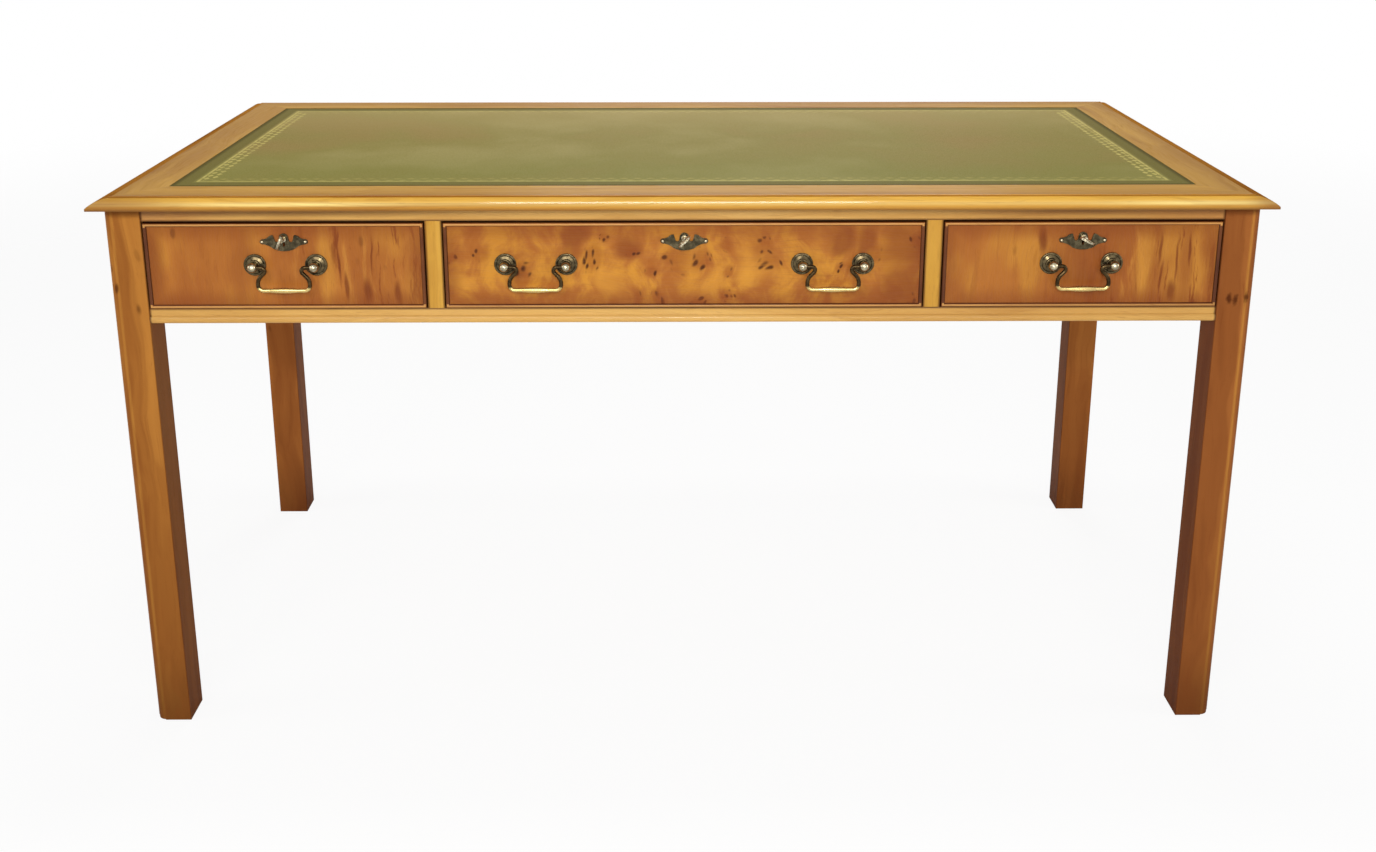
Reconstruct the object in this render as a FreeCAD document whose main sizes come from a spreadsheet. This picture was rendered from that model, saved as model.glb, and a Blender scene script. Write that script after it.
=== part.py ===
import FreeCAD, Part
import math
import os
from types import SimpleNamespace

import Sketcher
from FreeCAD import Placement, Rotation, Vector

# A Georgian-style yew writing table: leather top, three frieze drawers with locks, four square legs.
# Millimetres and degrees. X to the right, Y to the back, Z up.
# The origin is on the floor under the middle of the top, and the drawers face -Y.

SIZES = [
    # The top
    ("top_width", "1524", "top, moulding to moulding, left to right"),
    ("top_depth", "762", "top, moulding to moulding, front to back"),
    ("table_height", "762", "floor to the top surface"),
    ("top_thickness", "14.5", "edge of the top"),
    ("edge_width", "27", "thumb moulding, nose to the top board"),
    ("edge_lip", "4", "flat at the back of the moulding"),
    ("edge_quirk", "1.6", "step between that flat and the round"),
    ("edge_nose", "3.2", "upright nose under the round"),
    ("border_width", "81", "nose to the leather"),
    ("veneer_thickness", "1.2", "crossbanding"),
    ("leather_thickness", "0.9", "writing leather"),
    # The legs and the frame
    ("side_overhang", "12", "top over the legs, left and right"),
    ("front_overhang", "20", "top over the legs, front and back"),
    ("leg_size", "50", "square of a leg"),
    ("leg_round", "12.5", "ovolo on a leg's outer corner"),
    ("leg_quirk", "1.5", "step beside the ovolo"),
    ("rail_setback", "1.5", "rails and aprons behind the legs' faces"),
    ("tenon_length", "20", "tenons of rails and aprons"),
    ("tenon_shoulder", "8", "shoulder before and behind a rail's tenon"),
    ("tenon_cheek", "2.5", "shoulder over and under a rail's tenon"),
    ("upper_rail_height", "18.3", "rail over the drawers"),
    ("opening_height", "117.8", "drawer opening"),
    ("lower_rail_height", "20", "rail under the drawers"),
    ("centre_opening", "627", "width of the middle drawer opening"),
    ("muntin_width", "22", "upright between two drawers"),
    ("muntin_tenon", "7", "stub tenons of an upright"),
    ("muntin_shoulder", "5", "shoulder beside an upright's tenon"),
    ("apron_thickness", "20", "side and back frieze boards"),
    ("apron_shoulder", "5", "shoulder before and behind an apron's tenon"),
    ("apron_margin", "15", "shoulder over and under an apron's tenon"),
    ("apron_bead_height", "10", "bead along the frieze's lower edge"),
    ("apron_bead_depth", "8", "rebate that the bead is planted in"),
    ("apron_bead_proud", "3", "bead in front of the frieze"),
    ("runner_ledge", "22", "runner under a drawer side"),
    ("guide_height", "25", "guide beside a drawer side"),
    ("kicker_ledge", "19", "kicker over a drawer side"),
    ("stop_width", "26", "drawer stop"),
    ("stop_depth", "10", "drawer stop, front to back"),
    ("stop_height", "6", "drawer stop"),
    ("stop_inset", "60", "drawer stop from the opening's side"),
    ("screw_radius", "2.2", "top screw, shank"),
    ("screw_head_radius", "4.4", "top screw, countersunk head"),
    ("screw_head_height", "2.6", "top screw, countersunk head"),
    ("screw_length", "27", "top screw, whole"),
    ("screw_inset", "120", "top screw from the end of its kicker"),
    # The drawers
    ("drawer_side_gap", "1.5", "drawer to the side of its opening"),
    ("drawer_top_gap", "2.2", "drawer front to the upper rail"),
    ("drawer_rest_gap", "0.3", "drawer to its runner"),
    ("drawer_rear_gap", "119", "drawer's rear end to the back apron"),
    ("front_thickness", "20", "drawer front"),
    ("cockbead_width", "5", "cock bead on the drawer face"),
    ("cockbead_depth", "8", "rebate that the cock bead is let into"),
    ("lining_thickness", "10", "drawer sides and back"),
    ("side_drop", "12", "drawer side below the front's top edge"),
    ("dovetail_length", "12", "tails into the drawer front"),
    ("back_housing", "4", "drawer back into the sides"),
    ("back_drop", "18", "drawer back below the front's top edge"),
    ("back_inset", "8", "drawer back from the sides' rear ends"),
    ("bottom_thickness", "5", "drawer bottom"),
    ("bottom_rise", "9", "drawer bottom over the sides' lower edges"),
    ("bottom_groove", "5", "groove for the drawer bottom"),
    # The locks
    ("lock_width", "56", "lock case"),
    ("lock_height", "40", "lock case"),
    ("lock_depth", "12", "lock case"),
    ("lock_wall", "1.6", "lock case plates"),
    ("lock_pin_radius", "1.5", "pin that the key turns on"),
    ("lock_pin_length", "15", "that pin, from the back plate"),
    ("bolt_width", "24", "lock bolt"),
    ("bolt_thickness", "5", "lock bolt"),
    ("bolt_clearance", "0.4", "lock bolt in its slots"),
    ("bolt_sink", "0.3", "drawn bolt below the top of the case"),
    ("bolt_lift", "9.6", "drawn bolt over the key's axis"),
    ("bolt_mortise", "8", "mortise for the bolt in the upper rail"),
    ("key_drop", "20.7", "key's axis below the drawer front's top edge"),
    ("keyhole_radius", "3.4", "keyhole, round part"),
    ("keyhole_slot", "2.8", "keyhole, width of the slot"),
    ("keyhole_depth", "10.5", "keyhole, axis to the end of the slot"),
    ("key_shank_radius", "2.7", "key shank"),
    ("key_bore_radius", "1.8", "bore of the key's barrel"),
    ("key_bore_depth", "17", "bore of the key's barrel"),
    ("key_end_gap", "0.5", "key's end to the back plate"),
    ("key_exposed", "12", "key shank in front of the plate"),
    ("key_collar_radius", "3.9", "collar on the key"),
    ("key_collar_length", "2.4", "collar on the key"),
    ("key_collar_gap", "0.6", "collar to the plate"),
    ("key_bow_width", "20", "key bow, across"),
    ("key_bow_length", "14", "key bow, along the shank"),
    ("key_bow_rim", "3.8", "key bow, width of its ring"),
    ("key_bow_thickness", "2.6", "key bow"),
    ("key_bow_sink", "1", "shank let into the bow"),
    ("key_bit_reach", "9", "key bit, from the axis"),
    ("key_bit_length", "6", "key bit, along the shank"),
    ("key_bit_thickness", "2.2", "key bit"),
    ("key_turn_left", "23", "left key, turned from upright"),
    ("key_turn_centre", "45", "middle key, turned from upright"),
    ("key_turn_right", "-63", "right key, turned from upright"),
    # The escutcheons
    ("plate_width", "62", "escutcheon"),
    ("plate_height", "23.6", "escutcheon"),
    ("plate_thickness", "1.6", "escutcheon"),
    ("plate_key_rise", "4.1", "keyhole over the line of the escutcheon's tips"),
    ("plate_pin_inset", "3.2", "pin from the escutcheon's tip"),
    ("plate_pin_radius", "2.2", "pin head"),
    ("plate_pin_shank", "0.8", "pin shank, radius"),
    ("plate_pin_length", "9", "pin shank"),
    # The handles
    ("rose_radius", "14.5", "rose, the round plate under a post"),
    ("rose_height", "5.5", "rose"),
    ("post_shank_radius", "2.5", "post through the drawer front"),
    ("post_reach", "15", "middle of the post's ball from the drawer face"),
    ("post_clearance", "0.2", "post in its holes"),
    ("post_end", "3", "post past its nut"),
    ("ball_radius", "6.3", "ball of a post"),
    ("nut_radius", "5.2", "hexagon nut, to its corners"),
    ("nut_height", "4", "hexagon nut"),
    ("handle_pitch", "79.5", "post to post"),
    ("handle_rise", "1.6", "posts over the middle of the drawer front"),
    ("centre_handle_offset", "193", "middle drawer's handles from its middle"),
    ("wire_radius", "2.6", "bail"),
    ("wire_clearance", "0.35", "bail in its posts"),
    ("bail_pin_gap", "1", "bail's end from the middle of the ball"),
    ("neck_reach", "11.5", "middle of the ball to the bend of the neck"),
    ("neck_radius", "4.5", "first bend of the swan neck"),
    ("neck_run", "6", "slant of the swan neck"),
    ("neck_sweep", "14", "second bend of the swan neck"),
    ("cheek_run", "2", "upright of the bail"),
    ("cheek_radius", "7", "lower corner of the bail"),
    ("swell_length", "40", "swelling of the bail's grip"),
    ("swell_rise", "1.3", "swelling over the wire"),
    # Cuts
    ("overrun", "2", "how far a cut runs past a face"),
]

DIAGONAL_SHARE = math.sqrt(0.5)
BALL_NECK_SHARE = 0.6
BALL_NECK_DROP_SHARE = 0.8
SWELL_END_SHARE = 0.9
TAIL_CENTRE_SHARES = (0.18, 0.5, 0.82)
TAIL_END_SHARE = 0.24
TAIL_ROOT_SHARE = 0.16
# A rose's half profile, from the rim to the boss: radius and height as shares of the rose's own.
ROSE_RIM_SHARES = (1.0, 0.22)
ROSE_CROWN_SHARES = (0.92, 0.44)
ROSE_SHARES = ((0.81, 0.44), (0.78, 0.32), (0.53, 0.6), (0.5, 0.84))
ROSE_BOSS_SHARES = (0.42, 1.0)
LEFT, RIGHT = "left", "right"
# Half an escutcheon, from the middle of its lower edge to the top of its boss.
# Across as shares of half its width, up as shares of its height, from the line of the tips.
# A point that an arc leaves also has the arc's radius, as a share of the height, and the way that it turns.
PLATE_SHARES = (
    (0.0, -0.534, 1.27, LEFT),
    (0.452, -0.398, 0.93, RIGHT),
    (0.871, -0.144, 0.153, LEFT),
    (1.0, 0.0, 0.153, LEFT),
    (0.871, 0.136, 0.51, RIGHT),
    (0.661, 0.237, 0.38, LEFT),
    (0.439, 0.364),
    (0.361, 0.025, 0.11, RIGHT),
    (0.213, 0.042),
    (0.194, 0.212, 0.263, LEFT),
    (0.0, 0.466),
)

QUARTER_TURN = math.degrees(math.pi / 2)
FULL_TURN = 4 * QUARTER_TURN
# How a sketch numbers the points of a curve.
POINTS = ("curve", "start", "end", "centre")
START_POINT, END_POINT, CENTRE_POINT = (POINTS.index(point) for point in ("start", "end", "centre"))
SKETCH_ORIGIN = (-START_POINT, START_POINT)
OUTWARD = Rotation(Vector(1, 0, 0), QUARTER_TURN)
ALONG_X = Rotation(Vector(0, 1, 0), QUARTER_TURN)

doc = FreeCAD.newDocument("writing_table")
sheet = doc.addObject("Spreadsheet::Sheet", "Sizes")
for row, (alias, value, note) in enumerate(SIZES, start=1):
    sheet.set(f"A{row}", note)
    sheet.set(f"B{row}", value)
    sheet.setAlias(f"B{row}", alias)
doc.recompute()

pieces = []


class Length:
    """A size: its value and the expression on the sheet's cells that gives it."""

    def __init__(self, value, text):
        self.value = value
        self.text = text

    def __add__(self, other):
        other = length(other)
        return Length(self.value + other.value, f"({self.text} + {other.text})")

    def __sub__(self, other):
        other = length(other)
        return Length(self.value - other.value, f"({self.text} - {other.text})")

    def __mul__(self, other):
        other = length(other)
        return Length(self.value * other.value, f"({self.text} * {other.text})")

    def __truediv__(self, other):
        other = length(other)
        return Length(self.value / other.value, f"({self.text} / {other.text})")

    def __neg__(self):
        return Length(-self.value, f"(0 - {self.text})")


def length(number):
    """A Length as it is, and a plain number as a Length."""
    if isinstance(number, Length):
        return number
    return Length(number, str(number))


NIL = length(0)
size = SimpleNamespace(**{
    alias: Length(float(getattr(sheet, alias)), f"Sizes.{alias}") for alias, value, note in SIZES
})


# Small builders

def bind(thing, **sizes):
    """Ties properties of an object to the sheet."""
    for name, given in sizes.items():
        thing.setExpression(name, length(given).text)


def place(thing, x, y, z, turn=Rotation()):
    """Puts an object at a place that follows the sheet."""
    thing.Placement = Placement(Vector(), turn)
    for axis, given in zip("xyz", (x, y, z)):
        thing.setExpression(f"Placement.Base.{axis}", length(given).text)
    return thing


def keep(name, thing):
    """Names an object as a sub-part of the table."""
    thing.Label = name
    pieces.append(thing)
    return thing


def block(name, corner, opposite):
    """A box between two corners, given in any order."""
    ends = [sorted((length(a), length(b)), key=lambda end: end.value) for a, b in zip(corner, opposite)]
    solid = doc.addObject("Part::Box", name)
    bind(solid, **{side: high - low for side, (low, high) in zip(("Length", "Width", "Height"), ends)})
    return place(solid, *(low for low, high in ends))


def rod(name, start, radius, run, turn=Rotation()):
    """A cylinder from a point, along Z as turned."""
    solid = doc.addObject("Part::Cylinder", name)
    bind(solid, Radius=radius, Height=run)
    return place(solid, *start, turn)


def wedge(name, low, high, far_low, far_high):
    """A prism from one upright rectangle, low to high, to another further along Y, far_low to far_high."""
    solid = doc.addObject("Part::Wedge", name)
    bind(solid, Xmin=low[0], Ymin=low[1], Zmin=low[2], Xmax=high[0], Zmax=high[2])
    bind(solid, X2min=far_low[0], Z2min=far_low[2], X2max=far_high[0], Ymax=far_high[1], Z2max=far_high[2])
    return solid


def fuse(name, *shapes):
    joined = doc.addObject("Part::MultiFuse", name)
    joined.Shapes = list(shapes)
    joined.Refine = True
    return joined


def cut(name, base, *tools):
    rest = doc.addObject("Part::Cut", name)
    rest.Base = base
    rest.Tool = tools[0] if len(tools) == 1 else fuse(f"{name}_cutters", *tools)
    rest.Refine = True
    return rest


def common(name, *shapes):
    shared = doc.addObject("Part::MultiCommon", name)
    shared.Shapes = list(shapes)
    shared.Refine = True
    return shared


def group(name, *shapes):
    """Separate solids under one name."""
    together = doc.addObject("Part::Compound", name)
    together.Links = list(shapes)
    return together


def new_body(name):
    return doc.addObject("PartDesign::Body", name)


def new_sketch(body, role):
    """A sketch on one of its body's own planes."""
    sketch = body.newObject("Sketcher::SketchObject", f"{body.Name}_sketch")
    plane = [feature for feature in body.Origin.OriginFeatures if feature.Role == role][0]
    sketch.AttachmentSupport = [(plane, "")]
    sketch.MapMode = "FlatFace"
    return sketch


def arc_between(first, last, radius, turn):
    """The arc of under half a circle between two points that turns left or right on its way."""
    chord = last - first
    half = chord.Length / 2
    rise = radius - math.sqrt(max(radius * radius - half * half, 0))
    bulge = Vector(chord.y, -chord.x, 0).normalize() * rise
    middle = (first + last) / 2
    return Part.Arc(first, middle + bulge if turn == LEFT else middle - bulge, last)


def trace(sketch, corners, closed=True):
    """Draws an outline whose corners and radii follow the sheet.

    A corner is (x, y), or (x, y, radius, turn) where an arc leaves it.
    """
    points = [Vector(length(x).value, length(y).value, 0) for x, y, *bend in corners]
    spans = len(points) if closed else len(points) - 1
    base = len(sketch.Geometry)
    first_ends = []
    for span, (x, y, *bend) in enumerate(corners[:spans]):
        first, last = points[span], points[(span + 1) % len(points)]
        if bend:
            radius, turn = bend
            sketch.addGeometry(arc_between(first, last, length(radius).value, turn))
        else:
            turn = LEFT
            sketch.addGeometry(Part.LineSegment(first, last))
        # An arc is stored anticlockwise, so one that turns right begins at its stored end.
        first_ends.append(START_POINT if turn == LEFT else END_POINT)
    last_ends = [START_POINT + END_POINT - end for end in first_ends]
    for span in range(spans if closed else spans - 1):
        following = (span + 1) % spans
        sketch.addConstraint(Sketcher.Constraint(
            "Coincident", base + span, last_ends[span], base + following, first_ends[following]))
    for number, (x, y, *bend) in enumerate(corners):
        span, end = (number, first_ends[number]) if number < spans else (spans - 1, last_ends[-1])
        for kind, given in (("DistanceX", x), ("DistanceY", y)):
            hold(sketch, Sketcher.Constraint(
                kind, *SKETCH_ORIGIN, base + span, end, length(given).value), given)
        if bend:
            radius = length(bend[0])
            hold(sketch, Sketcher.Constraint("Radius", base + span, radius.value), radius)


def mirrored(corners):
    """The same corners on the other side of the upright axis, in the order that carries the line on."""
    bends = [bend for x, y, *bend in corners]
    return [(-x, y, *bend) for (x, y, *own), bend in zip(reversed(corners), [*reversed(bends[:-1]), ()])]


def hold(sketch, constraint, given):
    """Adds a constraint whose value follows the sheet."""
    number = sketch.addConstraint(constraint)
    sketch.renameConstraint(number, f"held_{number}")
    sketch.setExpression(f"Constraints.held_{number}", length(given).text)


def pad(body, sketch, run):
    feature = body.newObject("PartDesign::Pad", f"{body.Name}_pad")
    feature.Profile = sketch
    bind(feature, Length=run)
    return body


def revolve(body, sketch, axis):
    feature = body.newObject("PartDesign::Revolution", f"{body.Name}_turn")
    feature.Profile = sketch
    feature.ReferenceAxis = (sketch, [axis])
    feature.Angle = FULL_TURN
    return body


def mitred_strip(name, profile, width, low, high, run, start, turn):
    """A moulding of one profile whose two ends are mitred inwards over its width."""
    strip = new_body(f"{name}_strip")
    sketch = new_sketch(strip, "YZ_Plane")
    trace(sketch, profile)
    pad(strip, sketch, run)
    mitre = wedge(f"{name}_mitre", (NIL, NIL, low), (run, NIL, high),
                  (width, width, low), (run - width, width, high))
    place(strip, *start, turn)
    place(mitre, *start, turn)
    return common(f"{name}_mitred", strip, mitre)


def ring_sides(low_x, low_y, high_x, high_y):
    """The four sides of a rectangle, anticlockwise: name, start, run and turn."""
    return (
        ("front", (low_x, low_y), high_x - low_x, 0),
        ("right", (high_x, low_y), high_y - low_y, QUARTER_TURN),
        ("back", (high_x, high_y), high_x - low_x, 2 * QUARTER_TURN),
        ("left", (low_x, high_y), high_y - low_y, 3 * QUARTER_TURN),
    )


def upright(angle):
    """A turn about Z."""
    return Rotation(Vector(0, 0, 1), angle)


# Places that several pieces share

half_width = size.top_width / 2
half_depth = size.top_depth / 2
under_top = size.table_height - size.top_thickness
leg_outer_x = half_width - size.side_overhang
leg_outer_y = half_depth - size.front_overhang
leg_inner_x = leg_outer_x - size.leg_size
leg_inner_y = leg_outer_y - size.leg_size
frieze_x = leg_outer_x - size.rail_setback
frieze_y = leg_outer_y - size.rail_setback
apron_inner_x = frieze_x - size.apron_thickness
apron_inner_y = frieze_y - size.apron_thickness
opening_top = under_top - size.upper_rail_height
opening_low = opening_top - size.opening_height
frieze_low = opening_low - size.lower_rail_height
muntin_x = (size.centre_opening + size.muntin_width) / 2
side_opening = leg_inner_x - muntin_x - size.muntin_width / 2
side_drawer_x = leg_inner_x - side_opening / 2

face_y = -frieze_y
front_inner_y = face_y + size.front_thickness
rear_y = apron_inner_y - size.drawer_rear_gap
drawer_low = opening_low + size.drawer_rest_gap
drawer_top = opening_top - size.drawer_top_gap
key_z = drawer_top - size.key_drop
lock_front_y = front_inner_y - size.lock_depth
bolt_y = front_inner_y - size.lock_depth / 2


# Frame: rails, uprights, aprons, legs

def bolt_slot(name, middle, low, high):
    """The way of a lock bolt, with its clearance, between two heights."""
    half_slot = size.bolt_width / 2 + size.bolt_clearance
    half_gap = size.bolt_thickness / 2 + size.bolt_clearance
    return block(name, (middle - half_slot, bolt_y - half_gap, low),
                 (middle + half_slot, bolt_y + half_gap, high))


def build_front_rail(name, low, high):
    """A flat rail between the front legs, and the tenon that runs through it into both."""
    rail = block(f"{name}_board", (-leg_inner_x, face_y, low), (leg_inner_x, -leg_inner_y, high))
    reach = leg_inner_x + size.tenon_length
    tenon = block(
        f"{name}_tenon",
        (-reach, face_y + size.tenon_shoulder, low + size.tenon_cheek),
        (reach, -leg_inner_y - size.tenon_shoulder, high - size.tenon_cheek),
    )
    return fuse(f"{name}_whole", rail, tenon), tenon


def build_muntin(name, middle):
    """An upright between two drawers with a stub tenon at each end."""
    half = size.muntin_width / 2
    post = block(f"{name}_post", (middle - half, face_y, opening_low),
                 (middle + half, -leg_inner_y, opening_top))
    half_tenon = half - size.muntin_shoulder
    tenon = block(
        f"{name}_tenon",
        (middle - half_tenon, face_y + size.tenon_shoulder, opening_low - size.muntin_tenon),
        (middle + half_tenon, -leg_inner_y - size.tenon_shoulder, opening_top + size.muntin_tenon),
    )
    keep(name, fuse(name, post, tenon))
    return tenon


def apron_rebates():
    """The rebates along the frieze's lower edge, by side, that the beads are planted in."""
    rebates = {}
    for side, start, run, turn in ring_sides(-frieze_x, -frieze_y, frieze_x, frieze_y):
        rebate = doc.addObject("Part::Box", f"rebate_{side}")
        bind(rebate, Length=run, Width=size.apron_bead_depth, Height=size.apron_bead_height)
        place(rebate, *start, frieze_low, upright(turn))
        rebates[side] = rebate
    return rebates


def build_side_apron(name, sign, rebate):
    board = block(f"{name}_board", (frieze_x * sign, -leg_inner_y, frieze_low),
                  (apron_inner_x * sign, leg_inner_y, under_top))
    reach = leg_inner_y + size.tenon_length
    tenon = block(
        f"{name}_tenon",
        ((frieze_x - size.apron_shoulder) * sign, -reach, frieze_low + size.apron_margin),
        ((apron_inner_x + size.apron_shoulder) * sign, reach, under_top - size.apron_margin),
    )
    keep(name, cut(name, fuse(f"{name}_whole", board, tenon), rebate))
    return tenon


def build_back_apron(name, rebate):
    board = block(f"{name}_board", (-leg_inner_x, apron_inner_y, frieze_low),
                  (leg_inner_x, frieze_y, under_top))
    reach = leg_inner_x + size.tenon_length
    tenon = block(
        f"{name}_tenon",
        (-reach, apron_inner_y + size.apron_shoulder, frieze_low + size.apron_margin),
        (reach, frieze_y - size.apron_shoulder, under_top - size.apron_margin),
    )
    keep(name, cut(name, fuse(f"{name}_whole", board, tenon), rebate))
    return tenon


def build_apron_beads():
    """Four half-round beads between the legs, in the rebates."""
    height, depth, proud = size.apron_bead_height, size.apron_bead_depth, size.apron_bead_proud
    radius = (height * height / 4 + proud * proud) / (proud * 2)
    profile = ((NIL, NIL), (depth, NIL), (depth, height), (NIL, height, radius, LEFT))
    clear = {
        "front": ((-leg_inner_x, -frieze_y), leg_inner_x * 2),
        "right": ((frieze_x, -leg_inner_y), leg_inner_y * 2),
        "back": ((leg_inner_x, frieze_y), leg_inner_x * 2),
        "left": ((-frieze_x, leg_inner_y), leg_inner_y * 2),
    }
    beads = []
    for side, whole_start, whole_run, turn in ring_sides(-frieze_x, -frieze_y, frieze_x, frieze_y):
        start, run = clear[side]
        bead = new_body(f"apron_bead_{side}")
        sketch = new_sketch(bead, "YZ_Plane")
        trace(sketch, profile)
        pad(bead, sketch, run)
        beads.append(place(bead, *start, frieze_low, upright(turn)))
    keep("apron_beads", group("apron_beads", *beads))


def build_leg(name, corner, turn, mortises):
    """A square leg whose outer corner has an ovolo between two quirks."""
    shoulder = size.leg_round + size.leg_quirk
    profile = (
        (shoulder, NIL),
        (size.leg_size, NIL),
        (size.leg_size, size.leg_size),
        (NIL, size.leg_size),
        (NIL, shoulder),
        (size.leg_quirk, shoulder, size.leg_round, LEFT),
        (shoulder, size.leg_quirk),
    )
    post = new_body(f"{name}_post")
    sketch = new_sketch(post, "XY_Plane")
    trace(sketch, profile)
    pad(post, sketch, under_top)
    place(post, *corner, NIL, upright(turn))
    keep(name, cut(name, post, *mortises))


def build_frame():
    muntin_tenons = [build_muntin("muntin_left", -muntin_x), build_muntin("muntin_right", muntin_x)]
    rebates = apron_rebates()
    upper, upper_tenon = build_front_rail("upper_front_rail", opening_top, under_top)
    bolt_mortises = [
        bolt_slot(f"bolt_mortise_{side}", middle, opening_top - size.overrun, opening_top + size.bolt_mortise)
        for side, middle in (("left", -side_drawer_x), ("centre", NIL), ("right", side_drawer_x))
    ]
    keep("upper_front_rail", cut("upper_front_rail", upper, *muntin_tenons, *bolt_mortises))
    lower, lower_tenon = build_front_rail("lower_front_rail", frieze_low, opening_low)
    keep("lower_front_rail", cut("lower_front_rail", lower, *muntin_tenons, rebates["front"]))
    left_tenon = build_side_apron("side_apron_left", -1, rebates["left"])
    right_tenon = build_side_apron("side_apron_right", 1, rebates["right"])
    back_tenon = build_back_apron("back_apron", rebates["back"])
    build_apron_beads()
    legs = (
        ("leg_front_left", (-leg_outer_x, -leg_outer_y), 0, (upper_tenon, lower_tenon, left_tenon)),
        ("leg_front_right", (leg_outer_x, -leg_outer_y), 1, (upper_tenon, lower_tenon, right_tenon)),
        ("leg_back_right", (leg_outer_x, leg_outer_y), 2, (back_tenon, right_tenon)),
        ("leg_back_left", (-leg_outer_x, leg_outer_y), 3, (back_tenon, left_tenon)),
    )
    for name, corner, quarters, mortises in legs:
        build_leg(name, corner, quarters * QUARTER_TURN, mortises)


# Inside the frame: runners, kickers, stops, screws

def build_runners():
    """Runners with their guides: one by each side apron and one behind each upright."""
    runners = []
    for sign in (-1, 1):
        outer = fuse(
            "runner_outer",
            block("runner_board", (apron_inner_x * sign, -leg_inner_y, frieze_low),
                  ((leg_inner_x - size.runner_ledge) * sign, leg_inner_y, opening_low)),
            block("runner_guide", (apron_inner_x * sign, -leg_inner_y, opening_low),
                  (leg_inner_x * sign, leg_inner_y, opening_low + size.guide_height)),
        )
        middle, half = muntin_x * sign, size.muntin_width / 2
        inner = fuse(
            "runner_inner",
            block("runner_board", (middle - half - size.runner_ledge, -leg_inner_y, frieze_low),
                  (middle + half + size.runner_ledge, apron_inner_y, opening_low)),
            block("runner_guide", (middle - half, -leg_inner_y, opening_low),
                  (middle + half, apron_inner_y, opening_low + size.guide_height)),
        )
        runners += [outer, inner]
    keep("drawer_runners", group("drawer_runners", *runners))


def build_screw(x, y):
    """A countersunk screw, head down, flush with the underside of its kicker."""
    head = doc.addObject("Part::Cone", "screw_head")
    bind(head, Radius1=size.screw_head_radius, Radius2=size.screw_radius, Height=size.screw_head_height)
    place(head, x, y, opening_top)
    shank = rod("screw_shank", (x, y, opening_top), size.screw_radius, size.screw_length)
    return fuse("top_screw", head, shank)


def build_kickers():
    """Strips over the drawers, level with the upper rail, and the screws that hold the top to them."""
    kickers, screws = [], []
    for sign in (-1, 1):
        outer_end, inner_end = apron_inner_x * sign, (leg_inner_x - size.kicker_ledge) * sign
        outer_x = (outer_end + inner_end) / 2
        inner_x, half = muntin_x * sign, size.muntin_width / 2 + size.kicker_ledge
        rows = [
            [build_screw(x, y) for y in (-leg_inner_y + size.screw_inset, leg_inner_y - size.screw_inset)]
            for x in (outer_x, inner_x)
        ]
        boards = (
            block("kicker_board", (outer_end, -leg_inner_y, opening_top),
                  (inner_end, leg_inner_y, under_top)),
            block("kicker_board", (inner_x - half, -leg_inner_y, opening_top),
                  (inner_x + half, apron_inner_y, under_top)),
        )
        kickers += [cut("kicker", board, *row) for board, row in zip(boards, rows)]
        screws += rows[0] + rows[1]
    keep("drawer_kickers", group("drawer_kickers", *kickers))
    return keep("top_screws", group("top_screws", *screws))


def build_stops():
    """Two blocks on the lower rail behind each drawer front."""
    stops = []
    centre = (NIL, size.centre_opening)
    for middle, opening in ((-side_drawer_x, side_opening), centre, (side_drawer_x, side_opening)):
        for sign in (-1, 1):
            outer = middle + (opening / 2 - size.stop_inset) * sign
            inner = outer - size.stop_width * sign
            stops.append(block(
                "drawer_stop", (outer, front_inner_y, opening_low),
                (inner, front_inner_y + size.stop_depth, opening_low + size.stop_height)))
    keep("drawer_stops", group("drawer_stops", *stops))


# The top

def build_top(screws):
    """The board, its four mitred mouldings, the crossbanding and the leather."""
    board_x, board_y = half_width - size.edge_width, half_depth - size.edge_width
    board_top = size.table_height - size.veneer_thickness
    board = block("top_board", (-board_x, -board_y, under_top), (board_x, board_y, board_top))
    keep("top_panel", cut("top_panel", board, screws))

    round_run = size.edge_width - size.edge_lip
    round_rise = size.top_thickness - size.edge_quirk - size.edge_nose
    radius = (round_run * round_run + round_rise * round_rise) / (round_rise * 2)
    profile = (
        (NIL, -size.top_thickness),
        (size.edge_width, -size.top_thickness),
        (size.edge_width, NIL),
        (round_run, NIL),
        (round_run, -size.edge_quirk, radius, LEFT),
        (NIL, size.edge_nose - size.top_thickness),
    )
    for side, start, run, turn in ring_sides(-half_width, -half_depth, half_width, half_depth):
        name = f"top_moulding_{side}"
        keep(name, mitred_strip(
            name, profile, size.edge_width, -size.top_thickness - size.overrun, size.overrun,
            run, (*start, size.table_height), upright(turn)))

    band = size.border_width - size.edge_width
    bands = []
    for side, start, run, turn in ring_sides(-board_x, -board_y, board_x, board_y):
        strip = wedge(f"crossband_{side}", (NIL, NIL, NIL), (run, NIL, size.veneer_thickness),
                      (band, band, NIL), (run - band, band, size.veneer_thickness))
        bands.append(place(strip, *start, board_top, upright(turn)))
    keep("crossbanding", group("crossbanding", *bands))

    leather_x, leather_y = half_width - size.border_width, half_depth - size.border_width
    keep("leather_inset", block(
        "leather_inset", (-leather_x, -leather_y, board_top),
        (leather_x, leather_y, board_top + size.leather_thickness)))


# Drawers

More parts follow.
